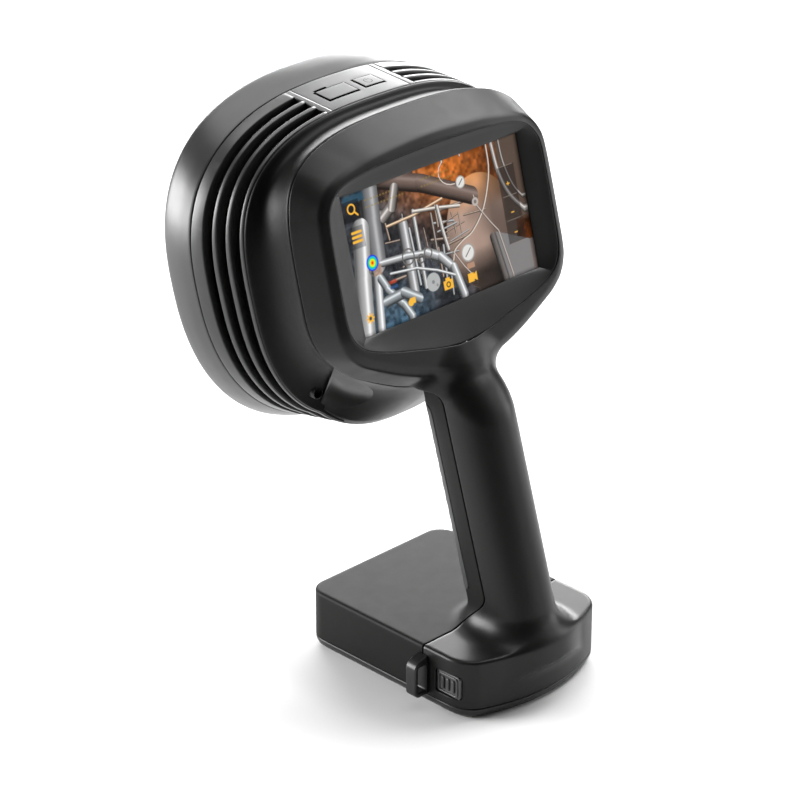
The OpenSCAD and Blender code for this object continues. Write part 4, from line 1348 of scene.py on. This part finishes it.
def icons(c):
    """Amber soft keys: magnifier, list, gear, leaf, camera and video, and the scale on the right."""
    c.box(0, 2, 10.5, 11.5, (0.05, 0.05, 0.06), 0.55)
    c.box(0, 14, 10.5, 24, (0.05, 0.05, 0.06), 0.35)
    c.ring((5.6, 5.8), 2.1, 0.4, AMBER)
    c.pipe([(7.1, 7.3), (9, 9.2)], 0.45, AMBER, dark=1, shine=0)
    for k in range(3):
        y = 16.6 + k * 2.1
        c.pipe([(3.6, y), (8.8, y)], 0.62, AMBER, dark=1, shine=0)
    gear = np.hypot(c.x - 5.2, c.y - 56.4)
    teeth = 2.15 + 0.45 * np.sign(np.cos(8 * np.arctan2(c.y - 56.4, c.x - 5.2)))
    c.blend(AMBER, (teeth - gear) / 0.2)
    c.disc((5.2, 56.4), 0.85, (0.2, 0.2, 0.2))
    c.disc((30.8, 56.6), 1.7, AMBER)
    c.box(30.4, 54.6, 33.8, 57.4, AMBER)
    c.box(52.3, 53.2, 58.3, 57.5, AMBER)
    c.box(53.8, 52.0, 56.6, 54, AMBER)
    c.disc((55.3, 55.3), 1.4, (0.25, 0.18, 0.08))
    c.disc((55.3, 55.3), 0.8, AMBER)
    c.box(68, 54.2, 71.8, 58.4, AMBER)
    horn = np.minimum(c.x - 71.4, 1.0 + (c.x - 71.4) * 0.6 - np.abs(c.y - 56.3))
    c.blend(AMBER, horn / 0.25 * (c.x < 73.8))
    c.box(97.5, 12, 108.5, 48.5, (0.06, 0.05, 0.05), 0.5)
    for y in (12, 26.2, 37.6, 48.5):
        c.box(98.5, y - 0.15, 107.5, y + 0.15, (0.45, 0.40, 0.36), 0.8)
    for y in (20.5, 34.2, 43.8):
        c.box(102, y - 0.25, 104, y + 0.25, AMBER)
    c.box(102.7, 19.6, 103.2, 21.4, AMBER)
    for x0, x1, y in ((14, 30, 4.2), (14, 38, 7.4), (49, 68, 4.2), (49, 71, 7.4)):
        for x in np.arange(x0, x1, 1.9):
            c.box(x, y - 0.4, x + 1.1, y + 0.4, (0.50, 0.40, 0.16), 0.55)


def picture():
    """The picture in front, with dark sides and a wider back that fill the gap to the dish."""
    canvas = Canvas(0.2)
    paint_plant(canvas)
    heat_spot(canvas)
    icons(canvas)
    u, v = canvas.x - LCD_W / 2, LCD_H / 2 - canvas.y
    front = screen_point(u, v, 0.0).reshape(-1, 3)
    ny, nx = canvas.ny, canvas.nx
    faces = grid_faces(ny, nx, False, False).tolist()
    rim = list(range(nx)) + [i * nx + nx - 1 for i in range(1, ny)]
    rim += [(ny - 1) * nx + j for j in range(nx - 2, -1, -1)] + [i * nx for i in range(ny - 2, 0, -1)]
    base = len(front)
    margin = 3.0
    ru, rv, _w = to_screen(front[rim])
    back = []
    for depth in (0.0, -3.4):
        out_u = np.sign(ru) * margin * (np.abs(ru) > LCD_W / 2 - 1e-3)
        out_v = np.sign(rv) * margin * (np.abs(rv) > LCD_H / 2 - 1e-3)
        back.append(screen_point(ru + out_u, rv + out_v, depth - 0.05))
    n = len(rim)
    for k in range(n):
        j = (k + 1) % n
        faces += [[rim[k], base + k, base + j, rim[j]], [base + k, base + n + k, base + n + j, base + j]]
    faces.append([base + n + k for k in range(n)])
    ob = piece("screen_picture", np.vstack([front] + back), faces, PICTURE,
               replaces=("lcd_panel",), smooth=False)
    colours = np.zeros((len(ob.data.vertices), 4), np.float32)
    colours[:, 3] = 1
    co = np.array([p.co for p in ob.data.vertices]) / MM
    cu, cv, cw = to_screen(co)
    j = np.clip(np.round((cu + LCD_W / 2) / LCD_W * (nx - 1)).astype(int), 0, nx - 1)
    i = np.clip(np.round((LCD_H / 2 - cv) / LCD_H * (ny - 1)).astype(int), 0, ny - 1)
    lit = cw > -0.02
    colours[lit, :3] = np.clip(canvas.rgb[i[lit], j[lit]], 0, 1) ** 1.6
    layer = ob.data.color_attributes.new("picture", "FLOAT_COLOR", "POINT")
    layer.data.foreach_set("color", colours.ravel())


# ---- studio -------------------------------------------------------------------------------------
def area_light(name, place, target, size, power):
    data = bpy.data.lights.new(name, "AREA")
    data.shape = "RECTANGLE"
    data.size, data.size_y = size
    data.energy = power
    ob = bpy.data.objects.new(name, data)
    bpy.context.scene.collection.objects.link(ob)
    ob.location = place
    aim = Vector(target) - Vector(place)
    ob.rotation_euler = aim.to_track_quat("-Z", "Y").to_euler()
    ob.visible_camera = False


def studio():
    """Pale floor, soft boxes overhead and at both sides, and the camera."""
    floor_mat, tree, shader = nodes_of("studio_floor")
    tree.links.new(ramp(tree, noise(tree, 3.0), 0.86, 0.9), shader.inputs["Base Color"])
    shader.inputs["Roughness"].default_value = 0.9
    mesh = bpy.data.meshes.new("studio_floor")
    half = 6.0
    mesh.from_pydata([(x, y, 0) for x, y in rect(-half, half, -half, half)], [], [(0, 1, 2, 3)])
    mesh.materials.append(floor_mat)
    floor = bpy.data.objects.new("studio_floor", mesh)
    bpy.context.scene.collection.objects.link(floor)
    world = bpy.data.worlds.new("studio")
    bpy.context.scene.world = world
    world.use_nodes = True
    background = world.node_tree.nodes["Background"]
    background.inputs["Color"].default_value = (1, 1, 1, 1)
    background.inputs["Strength"].default_value = 0.06
    middle = (0, -0.02, 0.14)
    area_light("top_box", (-0.35, -0.55, 1.7), middle, (1.5, 1.5), 24)
    area_light("rim_box", (-1.15, 0.15, 1.35), (0, 0, 0.22), (1.0, 0.7), 22)
    area_light("left_box", (1.35, -1.45, 0.5), middle, (1.1, 1.0), 75)
    area_light("right_box", (-1.75, 1.0, 0.6), middle, (0.7, 1.1), 14)
    area_light("back_box", (-1.5, -1.7, 0.72), (0, -0.05, 0.2), (2.0, 0.7), 70)
    camera()


def camera():
    data = bpy.data.cameras.new("camera")
    ob = bpy.data.objects.new("camera", data)
    bpy.context.scene.collection.objects.link(ob)
    data.sensor_width = 36
    data.lens = CAMERA_LENS
    data.clip_start, data.clip_end = 0.05, 50
    ob.location = CAMERA_AT
    ob.rotation_euler = Vector(CAMERA_LOOK).to_track_quat("-Z", "Y").to_euler()
    bpy.context.scene.camera = ob
    bpy.context.scene.view_settings.view_transform = "Standard"


# ---- assembly -----------------------------------------------------------------------------------
dress_frame()
front_ring()
vents()
top_controls()
rear_cover()
chin()
rear_shell()
front_shell()
bezel_dish()
picture()
battery()
latch(1, "latch_left")
latch(-1, "latch_right")
strap_loop()
studio()
